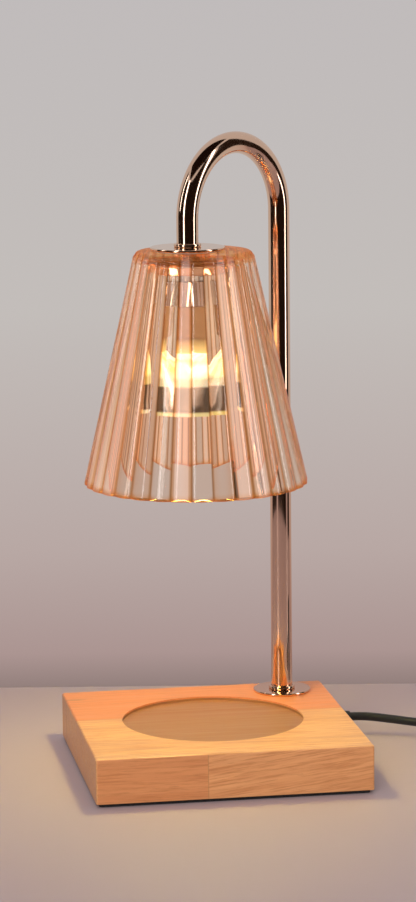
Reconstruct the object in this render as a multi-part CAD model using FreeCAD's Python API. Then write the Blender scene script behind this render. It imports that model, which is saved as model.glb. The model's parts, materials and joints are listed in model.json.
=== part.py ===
import FreeCAD, Part
import math
import os

# Candle warmer lamp: a wooden base with a jar seat, a gooseneck tube, a fluted glass shade over a
# reflector bulb, and a mains cord with a wheel dimmer and a plug.
# Millimetres. The origin is the centre of the base's underside. X runs right along the front edge,
# Y to the back, Z up.

Vector = FreeCAD.Vector
UP = Vector(0, 0, 1)
RIGHT = Vector(1, 0, 0)

# Fits
RUNNING = 0.05
LOOSE = 0.3

# How far a cut reaches past the piece that it cuts
PAST = 1.0

# Base
base_side = 150.0
base_wood_height = 24.5
base_edge_round = 1.2
base_rim_round = 1.1
pad_thickness = 2.0
pad_inset = 1.8
pad_corner = 2.0
seat_radius = 50.0
seat_depth = 2.0

# Wiring pocket in the underside of the wood
pocket_from_right = 7.0
pocket_from_back = 5.0
pocket_length = 48.0
pocket_width = 34.0
pocket_depth = 15.0
pocket_corner = 5.0
cover_thickness = 1.5
cover_lip = 5.0
cover_clearance = 0.3
cover_from_side = 2.0
cover_screw_radius = 1.2
cover_screw_head_radius = 2.2
cover_screw_length = 9.0
cover_screw_outside = 2.5
cover_screw_outside_right = 2.1
cover_screw_left_shift = 6.0
cover_screw_right_shift = 8.0
cover_screw_from_corner = 8.0
countersink_height = 1.4

# Post and gooseneck
post_from_right = 26.0
post_from_back = 20.0
arm_x = -10.8
arm_y = 3.2
arm_above_collar = 12.14
tube_radius = 6.0
tube_wall = 1.0
nipple_bore_radius = 3.4
nipple_fit = 0.02
nipple_hole_clearance = 0.1
flange_radius = 16.25
flange_thickness = 1.8
collar_radius = 7.5
collar_height = 1.9
collar_seat = 0.9
collar_round = 0.6
foot_nipple_in_tube = 14.0
neck_nipple_in_tube = 12.0
foot_washer_radius = 10.0
foot_washer_thickness = 1.5
lock_washer_radius = 8.2
lock_washer_thickness = 1.2
nut_across_flats = 14.0
nut_height = 4.0
nipple_end_beyond_nut = 0.8
nipple_end_in_cup = 2.0

# Glass shade
shade_offset_x = 3.2
shade_offset_y = -0.5
shade_top = 285.8
shade_height = 127.3
shade_top_radius = 32.2
shade_bottom_radius = 61.2
shade_wall = 4.0
shade_plate = 5.5
shade_shoulder = 3.0
shoulder_bulge = 0.29
shoulder_start = 1.3
shade_hole_radius = 8.75
flute_count = 32
flute_depth_share = 0.115

# Clamp discs and gaskets at the neck
upper_disc_radius = 20.25
disc_thickness = 1.5
gasket_radius = 18.5
gasket_thickness = 0.6
lower_disc_radius = 21.0
lower_disc_rim = 3.6
lower_disc_wall = 1.2

# Cup and lampholder
cup_radius = 12.8
cup_height = 14.2
cup_wall = 1.0
cup_below_nut = 3.6
holder_radius = 12.0
holder_height = 16.7
holder_pin_spacing = 10.0
holder_slot_depth = 7.1
holder_hole_radius = 4.5
holder_hole_depth = 5.0
holder_lid_height = 3.0
holder_screw_radius = 1.3
holder_screw_head_radius = 2.3
holder_screw_spacing = 15.0
holder_screw_head_height = 1.5
bracket_thickness = 1.5
contact_thickness = 0.8
contact_width = 3.2
contact_inner_reach = 2.0
lead_end_below_cup = 1.0
pin_path_steps = 4

# GU10 bulb
bulb_radius = 25.0
bulb_rim_height = 3.0
bulb_rim_step = 1.0
bulb_swell = 1.6
bulb_profile_steps = 8
bulb_neck_floor = 1.0
bulb_reflector_height = 32.0
bulb_neck_radius = 10.5
bulb_base_height = 9.0
bulb_base_radius = 9.5
bulb_wall = 1.2
bulb_lens_thickness = 2.0
pin_neck_radius = 1.5
pin_neck_length = 4.0
pin_head_radius = 2.5
pin_head_length = 3.0
pin_clearance = 0.4
bulb_turn = 20.0
burner_radius = 4.0
burner_length = 18.0
burner_seat = 5.0
burner_gap = 0.5

# Cord
cord_diameter = 4.8
core_diameter = 2.0
core_gap = 1.1
cord_exit_from_back = 27.0
cord_exit_z = 11.0
relief_tip_radius = 3.2
relief_root_radius = 4.2
relief_shoulder_radius = 5.6
relief_shoulder = 1.5
relief_outside = 12.0
relief_inside = 3.0
relief_inside_radius = 5.6
clamp_width = 6.0
clamp_length = 22.0
clamp_bottom = 7.6
clamp_screw_radius = 1.3
clamp_screw_head_radius = 2.3
clamp_screw_offset = 7.5
clamp_screw_grip = 5.0
cap_radius = 3.5
cap_length = 14.0
cap_wall = 0.9
cap_end_wall = 3.0
cap_mouth_depth = 6.0
cap_from_left = 6.0
cap_low_from_front = 14.0
cap_high_from_front = 23.0
cap_z = 7.3
lead_bend = 2.3
lead_run_in = 1.0
lead_below_nipple = 1.0
jacket_past_clamp = 1.0
core_run = 4.0
core_drop = 2.7
core_bend_low = 12.0
core_bend_high = 6.0
core_aside = 0.8

# Dimmer
dimmer_from_base = 108.7
dimmer_in_front_of_exit = 28.0
dimmer_length = 58.0
dimmer_width = 30.0
dimmer_height = 20.0
dimmer_wall = 1.8
dimmer_corner = 5.0
dimmer_edge_round = 1.6
wheel_radius = 12.0
wheel_height = 4.6
wheel_proud = 2.6
wheel_gap = 0.5
wheel_bore_radius = 3.0
wheel_notch_radius = 0.7
wheel_notches = 24
pot_radius = 7.0
pot_floor = 0.6
board_length = 38.0
board_width = 20.0
board_thickness = 1.6
board_behind_middle = 1.0
board_post_radius = 2.4
board_post_height = 2.2
board_post_inset = 5.0
capacitor_length = 4.0
capacitor_width = 9.0
capacitor_height = 7.0
capacitor_inset = 3.0
capacitor_front = 1.0
choke_radius = 3.2
choke_height = 7.5
choke_inset = 4.5
triac_length = 8.0
triac_width = 3.0
triac_height = 5.0
triac_inset = 7.0
triac_behind_middle = 6.0
dimmer_boss_radius = 3.0
dimmer_screw_radius = 1.1
dimmer_screw_head_radius = 2.0
dimmer_screw_grip = 5.0
dimmer_screw_sink = 0.6
dimmer_boss_inset_x = 6.5
dimmer_boss_inset_y = 5.5
dimmer_relief_outside = 12.0
dimmer_relief_radius = 4.6
dimmer_relief_inside = 8.0
dimmer_relief_groove = 0.9
dimmer_core_run = 1.5
dimmer_core_drop = 0.9
dimmer_core_spread = 1.3
dimmer_core_splay = 3.0
dimmer_core_on_board = 1.0

# Coil, tie and plug
coil_from_dimmer = 58.3
coil_mean_radius = 27.2
coil_pitch = 5.3
coil_layer_step = 5.3
coil_layers = 4
coil_turns_per_layer = 2.125
coil_climb_turns = 0.5
coil_gap_points = 900
tie_width = 9.0
tie_wall = 0.6
plug_body_length = 30.0
plug_body_width = 26.0
plug_body_height = 17.0
plug_relief_length = 22.0
plug_from_coil = 60.5
plug_relief_root_radius = 5.6
plug_corner = 5.0
plug_nose_inset = 2.5
blade_length = 17.0
blade_width = 6.35
blade_thickness = 1.5
blade_spacing = 12.7
blade_buried = 8.0

# Levels and places that follow from the sizes above
wood_bottom = pad_thickness
wood_top = pad_thickness + base_wood_height
half_base = base_side / 2.0
pocket_x1 = half_base - pocket_from_right
pocket_x0 = pocket_x1 - pocket_length
pocket_y1 = half_base - pocket_from_back
pocket_y0 = pocket_y1 - pocket_width
pocket_top = wood_bottom + pocket_depth
post_x = half_base - post_from_right
post_y = half_base - post_from_back
cover_top = wood_bottom + cover_thickness
flange_top = wood_top + flange_thickness
foot_collar_top = flange_top + collar_height
washer_bottom = pocket_top - foot_washer_thickness
lock_bottom = washer_bottom - lock_washer_thickness
foot_nut_bottom = lock_bottom - nut_height
foot_nipple_bottom = foot_nut_bottom - nipple_end_beyond_nut
nipple_radius = tube_radius - tube_wall - nipple_fit
upper_gasket_top = shade_top + gasket_thickness
upper_disc_top = upper_gasket_top + disc_thickness
neck_collar_top = upper_disc_top + collar_height
plate_bottom = shade_top - shade_plate
lower_gasket_bottom = plate_bottom - gasket_thickness
lower_disc_bottom = lower_gasket_bottom - disc_thickness
neck_nut_bottom = lower_disc_bottom - nut_height
shade_bottom = shade_top - shade_height
cup_top = neck_nut_bottom - cup_below_nut
cup_bottom = cup_top - cup_height
holder_bottom = cup_bottom - holder_height
shade_x = arm_x + shade_offset_x
shade_y = arm_y + shade_offset_y
arch_dx = arm_x - post_x
arch_dy = arm_y - post_y
arch_span = math.hypot(arch_dx, arch_dy)
arch_radius = arch_span / 2.0
arch_spring = neck_collar_top + arm_above_collar
arch_top = arch_spring + arch_radius
arch_side = Vector(-arch_dy / arch_span, arch_dx / arch_span, 0)
bulb_base_top = holder_bottom
bulb_base_bottom = bulb_base_top - bulb_base_height
bulb_rim_bottom = bulb_base_bottom - bulb_reflector_height
cord_exit_x = half_base + relief_outside
cord_exit_y = half_base - cord_exit_from_back
cap_x = pocket_x0 + cap_from_left
cap_y_low = pocket_y0 + cap_low_from_front
cap_y_high = pocket_y0 + cap_high_from_front
dimmer_x0 = half_base + dimmer_from_base
dimmer_x1 = dimmer_x0 + dimmer_length
dimmer_y = cord_exit_y - dimmer_in_front_of_exit
dimmer_z = dimmer_height / 2.0
cord_radius = cord_diameter / 2.0
coil_outer = coil_mean_radius + coil_turns_per_layer * coil_pitch / 2.0
coil_inner = coil_mean_radius - coil_turns_per_layer * coil_pitch / 2.0
coil_x = dimmer_x1 + coil_from_dimmer
coil_y = dimmer_y - coil_outer
coil_floor = cord_radius + tie_wall + RUNNING
coil_ceiling = coil_floor + (coil_layers - 1) * coil_layer_step
plug_y = coil_y - coil_outer
plug_z = plug_body_height / 2.0
plug_relief_tip = coil_x - plug_from_coil
cap_mouth_x = cap_x + cap_length - cap_mouth_depth


def cylinder(radius, height, x, y, z, axis=UP):
    return Part.makeCylinder(radius, height, Vector(x, y, z), axis)


def block(x0, y0, z0, x1, y1, z1):
    return Part.makeBox(x1 - x0, y1 - y0, z1 - z0, Vector(x0, y0, z0))


def rounded_block(x0, y0, z0, x1, y1, z1, radius):
    """A block with its four upright edges rounded."""
    solid = block(x0, y0, z0, x1, y1, z1)
    upright = [e for e in solid.Edges if abs(e.tangentAt(e.FirstParameter).z) > 0.9]
    return solid.makeFillet(radius, upright)


def ring(outer, inner, height, x, y, z, axis=UP):
    return cylinder(outer, height, x, y, z, axis).cut(cylinder(inner, height, x, y, z, axis))


def spun(profile, x, y):
    """A profile of (radius, height) points, turned about the upright line at x, y."""
    points = [Vector(r, 0, z) for r, z in profile]
    face = Part.Face(Part.makePolygon(points + [points[0]]))
    solid = face.revolve(Vector(0, 0, 0), UP, 360)
    solid.translate(Vector(x, y, 0))
    return solid


def cone_along_x(r0, r1, length, x, y, z):
    return Part.makeCone(r0, r1, length, Vector(x, y, z), RIGHT)


def hexagon(across_flats, height, x, y, z):
    corner = across_flats / math.sqrt(3.0)
    points = [Vector(x + corner * math.cos(math.radians(60 * k)),
                     y + corner * math.sin(math.radians(60 * k)), z) for k in range(7)]
    return Part.Face(Part.makePolygon(points)).extrude(Vector(0, 0, height))


def route_wire(points, name):
    """Straight runs joined by tangent arcs, with each arc as large as its two runs allow."""
    edges = []
    start = points[0]
    radii = []
    for before, corner, after in zip(points, points[1:], points[2:]):
        way_in = corner.sub(before)
        way_out = after.sub(corner)
        turn = way_in.getAngle(way_out)
        setback = 0.45 * min(way_in.Length, way_out.Length)
        radius = setback / math.tan(turn / 2.0)
        radii.append(radius)
        way_in.normalize()
        way_out.normalize()
        entry = corner.sub(way_in * setback)
        leave = corner.add(way_out * setback)
        inward = (way_out - way_in)
        inward.normalize()
        middle = corner.add(inward * (radius / math.cos(turn / 2.0) - radius))
        edges.append(Part.LineSegment(start, entry).toShape())
        edges.append(Part.Arc(entry, middle, leave).toShape())
        start = leave
    edges.append(Part.LineSegment(start, points[-1]).toShape())
    wire = Part.Wire(edges)
    if radii:
        print(name, "length %.1f, smallest radius %.1f" % (wire.Length, min(radii)))
    return wire


def tube_along(wire, diameter):
    first = wire.Edges[0]
    start = first.valueAt(first.FirstParameter)
    heading = first.tangentAt(first.FirstParameter)
    outline = Part.Wire(Part.Circle(start, heading, diameter / 2.0).toShape())
    return wire.makePipeShell([outline], True, False)


def check_volume(name, solid, wire, diameter):
    expected = math.pi * diameter ** 2 / 4.0 * wire.Length
    print(name, "volume over section times length %.4f" % (solid.Volume / expected))


def biarc(p0, t0, p1, t1):
    """Two arcs from p0, heading t0, to p1, heading t1."""
    span = p1.sub(p0)
    together = t0.add(t1)
    bend = 2.0 * (1.0 - t0.dot(t1))
    along = span.dot(together)
    reach = (math.sqrt(along ** 2 + bend * span.dot(span)) - along) / bend
    joint = (p0.add(p1).add((t0.sub(t1)) * reach)) * 0.5
    return [Part.Arc(p0, arc_middle(p0, t0, joint), joint).toShape(),
            Part.Arc(joint, arc_middle(p1, t1 * -1.0, joint), p1).toShape()]


def arc_middle(start, heading, end):
    """The middle point of the arc that leaves start along heading and ends at end."""
    chord = end.sub(start)
    across = chord.sub(heading * chord.dot(heading))
    across.normalize()
    turn = heading.getAngle(chord)
    radius = chord.Length / (2.0 * math.sin(turn))
    centre = start.add(across * radius)
    outward = start.add(chord * 0.5).sub(centre)
    outward.normalize()
    return centre.add(outward * radius)


def screws_at(places, radius, length, z, head_radius, head_height):
    """Screws that point up from z, each with a countersunk head at its lower end."""
    screws = []
    for x, y in places:
        head = Part.makeCone(head_radius, radius, head_height, Vector(x, y, z), UP)
        screws.append(head.fuse(cylinder(radius, length, x, y, z)))
    return screws


def cut_all(solid, tools):
    for tool in tools:
        solid = solid.cut(tool)
    return solid


parts = {}


def save(name, shape):
    parts[name] = shape


def make_base():
    block_solid = rounded_block(-half_base, -half_base, wood_bottom, half_base, half_base, wood_top,
                                base_edge_round)
    rim = [e for e in block_solid.Edges if e.BoundBox.ZMin > wood_top - 0.01]
    block_solid = block_solid.makeFillet(base_rim_round, rim)
    cuts = [cylinder(seat_radius, seat_depth + PAST, 0, 0, wood_top - seat_depth)]
    cuts.append(rounded_block(pocket_x0, pocket_y0, wood_bottom, pocket_x1, pocket_y1, pocket_top,
                              pocket_corner))
    cuts.append(cover_outline(0.0))
    cuts.append(cylinder(nipple_radius + nipple_hole_clearance, base_wood_height, post_x, post_y,
                         wood_bottom))
    cuts.append(cylinder(relief_root_radius, pocket_from_right + 2.0 * PAST, pocket_x1 - PAST,
                         cord_exit_y, cord_exit_z, RIGHT))
    screws = screws_at(cover_screw_places(), cover_screw_radius, cover_screw_length, wood_bottom,
                       cover_screw_head_radius, cover_thickness)
    block_solid = cut_all(block_solid, cuts + screws + clamp_screws())
    save("base_block", block_solid)

    half_pad = half_base - pad_inset
    save("base_pad", rounded_block(-half_pad, -half_pad, 0, half_pad, half_pad, pad_thickness, pad_corner))

    save("pocket_cover", cut_all(cover_outline(cover_clearance), screws))
    save("cover_screws", Part.makeCompound(screws))


def cover_outline(gap):
    """The pocket cover's shape, this much smaller all round than the recess that takes it."""
    lip = cover_lip - gap
    limit = half_base - cover_from_side - gap
    return rounded_block(pocket_x0 - lip, pocket_y0 - lip, wood_bottom, min(pocket_x1 + lip, limit),
                         min(pocket_y1 + lip, limit), cover_top, pocket_corner - gap)


def cover_screw_places():
    x_low = pocket_x0 - cover_screw_outside
    x_high = pocket_x1 + cover_screw_outside_right
    y_low = pocket_y0 - cover_screw_outside
    y_middle = (pocket_y0 + pocket_y1) / 2.0
    along = cover_screw_from_corner
    return [(x_low, y_middle + cover_screw_left_shift), (x_high, y_middle + cover_screw_right_shift),
            (x_low + along, y_low), (x_high - along, y_low)]


def clamp_centre_x():
    return pocket_x1 - relief_inside - clamp_width / 2.0


def clamp_screws():
    places = [(clamp_centre_x(), cord_exit_y + sign * clamp_screw_offset) for sign in (-1, 1)]
    length = pocket_top + clamp_screw_grip - clamp_bottom
    return screws_at(places, clamp_screw_radius, length, clamp_bottom, clamp_screw_head_radius,
                     countersink_height)


def make_post():
    hole = nipple_radius + nipple_hole_clearance
    save("post_flange", ring(flange_radius, hole, flange_thickness, post_x, post_y, wood_top))
    save("foot_collar", collar(post_x, post_y, flange_top, True))
    tube_start = foot_collar_top - collar_seat
    tube_end = neck_collar_top - collar_seat
    save("gooseneck_tube", gooseneck(tube_radius, tube_start, tube_end, 0.0).cut(
        gooseneck(tube_radius - tube_wall, tube_start, tube_end, 0.0)))
    foot_length = foot_collar_top + foot_nipple_in_tube - foot_nipple_bottom
    save("foot_nipple", ring(nipple_radius, nipple_bore_radius, foot_length, post_x, post_y,
                             foot_nipple_bottom))
    save("foot_washer", ring(foot_washer_radius, hole, foot_washer_thickness, post_x, post_y, washer_bottom))
    save("foot_lock_washer", ring(lock_washer_radius, hole, lock_washer_thickness, post_x, post_y,
                                  lock_bottom))
    nut = hexagon(nut_across_flats, nut_height, post_x, post_y, foot_nut_bottom)
    save("foot_nut", nut.cut(cylinder(nipple_radius + nipple_fit, nut_height, post_x, post_y,
                                      foot_nut_bottom)))


def collar(x, y, z, seat_on_top):
    """A threaded collar with a counterbore that takes the end of the tube."""
    solid = cylinder(collar_radius, collar_height, x, y, z)
    solid = solid.makeFillet(collar_round, [e for e in solid.Edges if e.Closed])
    solid = solid.cut(cylinder(nipple_radius + nipple_fit, collar_height, x, y, z))
    seat_z = z + collar_height - collar_seat if seat_on_top else z
    return solid.cut(cylinder(tube_radius + RUNNING, collar_seat, x, y, seat_z))


def gooseneck_wire(z_start, z_end, aside):
    """Up the post, over the half-round arch, and down the arm, shifted sideways by aside."""
    shift = arch_side * aside
    foot = Vector(post_x, post_y, z_start).add(shift)
    rise = Vector(post_x, post_y, arch_spring).add(shift)
    crown = Vector((post_x + arm_x) / 2.0, (post_y + arm_y) / 2.0, arch_top).add(shift)
    fall = Vector(arm_x, arm_y, arch_spring).add(shift)
    end = Vector(arm_x, arm_y, z_end).add(shift)
    return Part.Wire([Part.LineSegment(foot, rise).toShape(), Part.Arc(rise, crown, fall).toShape(),
                      Part.LineSegment(fall, end).toShape()])


def gooseneck(radius, z_start, z_end, aside):
    return tube_along(gooseneck_wire(z_start, z_end, aside), 2.0 * radius)


def make_neck():
    hole = nipple_radius + nipple_hole_clearance
    save("neck_collar", collar(arm_x, arm_y, upper_disc_top, True))
    save("upper_disc", ring(upper_disc_radius, hole, disc_thickness, arm_x, arm_y, upper_gasket_top))
    save("upper_gasket", ring(gasket_radius, hole, gasket_thickness, arm_x, arm_y, shade_top))
    save("lower_gasket", ring(gasket_radius, hole, gasket_thickness, arm_x, arm_y, lower_gasket_bottom))
    disc = cylinder(lower_disc_radius, lower_disc_rim + disc_thickness, arm_x, arm_y,
                    lower_disc_bottom - lower_disc_rim)
    disc = disc.cut(cylinder(lower_disc_radius - lower_disc_wall, lower_disc_rim, arm_x, arm_y,
                             lower_disc_bottom - lower_disc_rim))
    save("lower_disc", disc.cut(cylinder(hole, disc_thickness, arm_x, arm_y, lower_disc_bottom)))
    nut = hexagon(nut_across_flats, nut_height, arm_x, arm_y, neck_nut_bottom)
    save("neck_nut", nut.cut(cylinder(nipple_radius + nipple_fit, nut_height, arm_x, arm_y,
                                      neck_nut_bottom)))
    nipple_bottom = cup_top - cup_wall - nipple_end_in_cup
    nipple_top = neck_collar_top + neck_nipple_in_tube
    save("neck_nipple", ring(nipple_radius, nipple_bore_radius, nipple_top - nipple_bottom, arm_x, arm_y,
                             nipple_bottom))


def fluted_outline(radius, z):
    """A closed outline of convex flutes that touches the circle of this radius at their crests."""
    step = 2.0 * math.pi / flute_count
    depth = flute_depth_share * radius * step
    valley = radius - depth
    edges = []
    for k in range(flute_count):
        a0 = k * step
        a1 = a0 + step / 2.0
        a2 = a0 + step
        ends = [Vector(r * math.cos(a), r * math.sin(a), z)
                for r, a in ((valley, a0), (radius, a1), (valley, a2))]
        edges.append(Part.Arc(*ends).toShape())
    return Part.Wire(edges)


def make_shade():
    rise = shade_top - shade_bottom
    outer = Part.makeLoft([fluted_outline(shade_bottom_radius, 0), fluted_outline(shade_top_radius, rise)],
                          True, True)
    slope = (shade_bottom_radius - shade_top_radius) / rise
    shoulder = shade_shoulder
    below = shoulder * shoulder_start
    bulge = shoulder * shoulder_bulge
    limit = spun([(0, -PAST), (shade_bottom_radius + PAST + slope, -PAST),
                  (shade_top_radius + PAST + slope * below, rise - below),
                  (shade_top_radius - bulge, rise - bulge),
                  (shade_top_radius - shoulder, rise), (0, rise)], 0, 0)
    outer = outer.common(limit)
    inner_bottom = shade_bottom_radius - shade_wall
    inner_top = shade_top_radius - shade_wall + slope * shade_plate
    inner = Part.makeCone(inner_bottom + slope * PAST, inner_top, rise - shade_plate + PAST,
                          Vector(0, 0, -PAST), UP)
    shade = outer.cut(inner)
    shade.translate(Vector(shade_x, shade_y, shade_bottom))
    save("glass_shade", shade.cut(cylinder(shade_hole_radius, rise, shade_x, shade_y, shade_bottom)))


def make_holder():
    cup = cylinder(cup_radius, cup_height, arm_x, arm_y, cup_bottom)
    cup = cup.cut(cylinder(cup_radius - cup_wall, cup_height - cup_wall, arm_x, arm_y, cup_bottom))
    save("holder_cup", cup.cut(cylinder(nipple_radius + nipple_fit, cup_height, arm_x, arm_y, cup_bottom)))
    hollow = cup_radius - cup_wall - RUNNING
    lid = cylinder(hollow, holder_lid_height, arm_x, arm_y, cup_bottom)
    body = cylinder(holder_radius, holder_height, arm_x, arm_y, holder_bottom).fuse(lid)
    hole_z = cup_bottom + holder_lid_height - holder_hole_depth
    cuts = [cylinder(holder_hole_radius, holder_hole_depth, arm_x, arm_y, hole_z)]
    for sign in (-1, 1):
        cuts.append(pin_path(sign, pin_head_radius + pin_clearance, pin_neck_length,
                             holder_slot_depth - pin_neck_length))
        cuts.append(pin_path(sign, pin_neck_radius + pin_clearance, 0.0, pin_neck_length + RUNNING))
        entry = pin_place(sign, -bulb_turn)
        cuts.append(cylinder(pin_head_radius + pin_clearance, holder_slot_depth, entry.x, entry.y,
                             holder_bottom))
        cuts.append(contact(sign))
    places = [(arm_x, arm_y + sign * holder_screw_spacing / 2.0) for sign in (-1, 1)]
    length = holder_height + holder_lid_height + bracket_thickness
    screws = screws_at(places, holder_screw_radius, length, holder_bottom, holder_screw_head_radius,
                       holder_screw_head_height)
    save("lamp_holder", cut_all(body, cuts + screws))
    save("holder_contacts", Part.makeCompound([contact(sign) for sign in (-1, 1)]))
    save("holder_screws", Part.makeCompound(screws))
    bracket = ring(hollow, holder_hole_radius, bracket_thickness, arm_x, arm_y,
                   cup_bottom + holder_lid_height)
    save("holder_bracket", cut_all(bracket, screws))


def pin_place(sign, degrees):
    angle = math.radians(degrees)
    reach = sign * holder_pin_spacing / 2.0
    return Vector(arm_x + reach * math.cos(angle), arm_y + reach * math.sin(angle), 0)


def pin_path(sign, radius, low, height):
    """The space that a round pin sweeps as the bulb turns, as a row of close cylinders."""
    z = holder_bottom + low
    solid = None
    for k in range(pin_path_steps + 1):
        place = pin_place(sign, -bulb_turn * k / pin_path_steps)
        piece = cylinder(radius, height, place.x, place.y, z)
        solid = piece if solid is None else solid.fuse(piece)
    return solid


def contact(sign):
    """A sprung contact above each pin head, with a tail up to the leads."""
    z = holder_bottom + holder_slot_depth
    half = contact_width / 2.0
    near = sign * contact_inner_reach
    far = sign * (holder_pin_spacing / 2.0 + half)
    tail = near + sign * contact_thickness
    y0 = arm_y - half
    y1 = arm_y + half
    plate = block(arm_x + min(near, far), y0, z, arm_x + max(near, far), y1, z + contact_thickness)
    return plate.fuse(block(arm_x + min(near, tail), y0, z, arm_x + max(near, tail), y1, lead_end_z()))


def lead_end_z():
    return cup_bottom - lead_end_below_cup


def make_bulb():
    rim_top = bulb_rim_bottom + bulb_rim_height
    outer = [(bulb_radius, bulb_rim_bottom), (bulb_radius, rim_top)]
    spread = bulb_radius - bulb_rim_step - bulb_neck_radius
    for k in range(1, bulb_profile_steps + 1):
        share = k / bulb_profile_steps
        r = bulb_neck_radius + spread * math.sqrt(1.0 - share ** bulb_swell)
        outer.append((r, rim_top + share * (bulb_base_bottom - rim_top)))
    seat = bulb_rim_bottom + bulb_lens_thickness
    inner = [(r - bulb_wall, z) for r, z in outer[2:-1]]
    inner = [(bulb_radius - bulb_wall, bulb_rim_bottom), (bulb_radius - bulb_wall, seat)] + inner
    floor_z = bulb_base_bottom - bulb_neck_floor
    inner.append((bulb_neck_radius - bulb_wall, floor_z))
    inner.append((burner_radius + burner_gap, floor_z))
    inner.append((burner_radius + burner_gap, bulb_base_bottom))
    save("bulb_reflector", spun(outer + list(reversed(inner)), arm_x, arm_y))
    lens_radius = bulb_radius - bulb_wall - RUNNING
    save("bulb_lens", cylinder(lens_radius, bulb_lens_thickness, arm_x, arm_y, bulb_rim_bottom))
    base = cylinder(bulb_base_radius, bulb_base_height, arm_x, arm_y, bulb_base_bottom)
    save("bulb_base", base.cut(cylinder(burner_radius + RUNNING, burner_seat, arm_x, arm_y,
                                        bulb_base_bottom)))
    pins = []
    for sign in (-1, 1):
        place = pin_place(sign, 0)
        neck = cylinder(pin_neck_radius, pin_neck_length, place.x, place.y, bulb_base_top)
        head = cylinder(pin_head_radius, pin_head_length, place.x, place.y, bulb_base_top + pin_neck_length)
        pins.append(neck.fuse(head))
    save("bulb_pins", Part.makeCompound(pins))
    burner_z = bulb_base_bottom + burner_seat - burner_length
    save("bulb_burner", cylinder(burner_radius, burner_length, arm_x, arm_y, burner_z))


def make_leads():
    leads = []
    for sign, cap_y in ((1, cap_y_low), (-1, cap_y_high)):
        aside = sign * core_gap
        foot_z = foot_nipple_bottom + lead_below_nipple
        upper = gooseneck_wire(foot_z, lead_end_z(), aside)
        start = Vector(post_x, post_y, foot_z).add(arch_side * aside)
        mouth = Vector(cap_mouth_x, cap_y + sign * core_gap, cap_z)
        turn = Vector(start.x, start.y, cap_z)
        inlet = Vector(cap_x + cap_length + lead_run_in, mouth.y, cap_z)
        way = inlet.sub(turn)
        way.normalize()
        entry = turn.add(way * lead_bend)
        rise = Vector(start.x, start.y, cap_z + lead_bend)
        middle = turn.add((way + UP) * (lead_bend * (1.0 - math.sqrt(0.5))))
        lower = route_wire([mouth, inlet, entry], "lamp lead").Edges
        lower += [Part.Arc(entry, middle, rise).toShape(), Part.LineSegment(rise, start).toShape()]
        leads.append(tube_along(Part.Wire(lower + upper.Edges), core_diameter))
    save("lamp_leads", Part.makeCompound(leads))


def make_base_wiring():
    caps = []
    for cap_y in (cap_y_low, cap_y_high):
        cap = cylinder(cap_radius, cap_length, cap_x, cap_y, cap_z, RIGHT)
        caps.append(cap.cut(cylinder(cap_radius - cap_wall, cap_length - cap_end_wall,
                                     cap_x + cap_end_wall, cap_y, cap_z, RIGHT)))
    save("crimp_caps", Part.makeCompound(caps))

    jacket_end = clamp_centre_x() - clamp_width / 2.0 - jacket_past_clamp
    jacket = cylinder(cord_radius, cord_exit_x - jacket_end, jacket_end, cord_exit_y, cord_exit_z, RIGHT)
    solids = [jacket]
    for sign, cap_y, core_bend in ((-1, cap_y_low, core_bend_low), (1, cap_y_high, core_bend_high)):
        start = Vector(jacket_end, cord_exit_y + sign * core_gap, cord_exit_z)
        mouth = Vector(cap_mouth_x, cap_y + sign * core_gap, cap_z)
        points = [start, Vector(jacket_end - core_run, start.y, cord_exit_z - core_drop),
                  Vector(jacket_end - core_bend, mouth.y - core_aside, cap_z), mouth]
        solids.append(tube_along(route_wire(points, "cord core"), core_diameter))
    save("cord_tail", Part.makeCompound(solids))

    x0 = clamp_centre_x() - clamp_width / 2.0
    y0 = cord_exit_y - clamp_length / 2.0
    saddle = block(x0, y0, clamp_bottom, x0 + clamp_width, y0 + clamp_length, pocket_top)
    saddle = saddle.cut(cylinder(cord_radius + RUNNING, clamp_width, x0, cord_exit_y, cord_exit_z, RIGHT))
    save("cord_clamp", cut_all(saddle, clamp_screws()))
    save("clamp_screws", Part.makeCompound(clamp_screws()))

    inner_x = pocket_x1 - relief_inside
    inner = cylinder(relief_inside_radius, relief_inside, inner_x, cord_exit_y, cord_exit_z, RIGHT)
    neck = cylinder(relief_root_radius - RUNNING, pocket_from_right, pocket_x1, cord_exit_y, cord_exit_z,
                    RIGHT)
    shoulder = cylinder(relief_shoulder_radius, relief_shoulder, half_base, cord_exit_y, cord_exit_z, RIGHT)
    taper = cone_along_x(relief_root_radius, relief_tip_radius, relief_outside - relief_shoulder,
                         half_base + relief_shoulder, cord_exit_y, cord_exit_z)
    relief = inner.fuse(neck).fuse(shoulder).fuse(taper)
    bore = cylinder(cord_radius + RUNNING, cord_exit_x - inner_x + 2.0 * PAST, inner_x - PAST,
                    cord_exit_y, cord_exit_z, RIGHT)
    save("cord_relief", relief.cut(bore))


def relief_sleeve(x_wall, sign, y, z, outside, inside):
    """A tapered sleeve that is trapped in a housing's end wall. Sign is the way that it points."""
    axis = RIGHT * sign
    groove = dimmer_wall + 2.0 * RUNNING
    root = dimmer_relief_radius
    inner = Part.makeCylinder(root, inside - dimmer_wall - RUNNING, Vector(x_wall - sign * inside, y, z),
                              axis)
    neck = Part.makeCylinder(root - dimmer_relief_groove, groove,
                             Vector(x_wall - sign * (dimmer_wall + RUNNING), y, z), axis)
    taper = Part.makeCone(root, relief_tip_radius, outside - RUNNING, Vector(x_wall + sign * RUNNING, y, z),
                          axis)
    bore = Part.makeCylinder(cord_radius + RUNNING, outside + inside + 2.0 * PAST,
                             Vector(x_wall - sign * (inside + PAST), y, z), axis)
    return inner.fuse(neck).fuse(taper).cut(bore)


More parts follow.
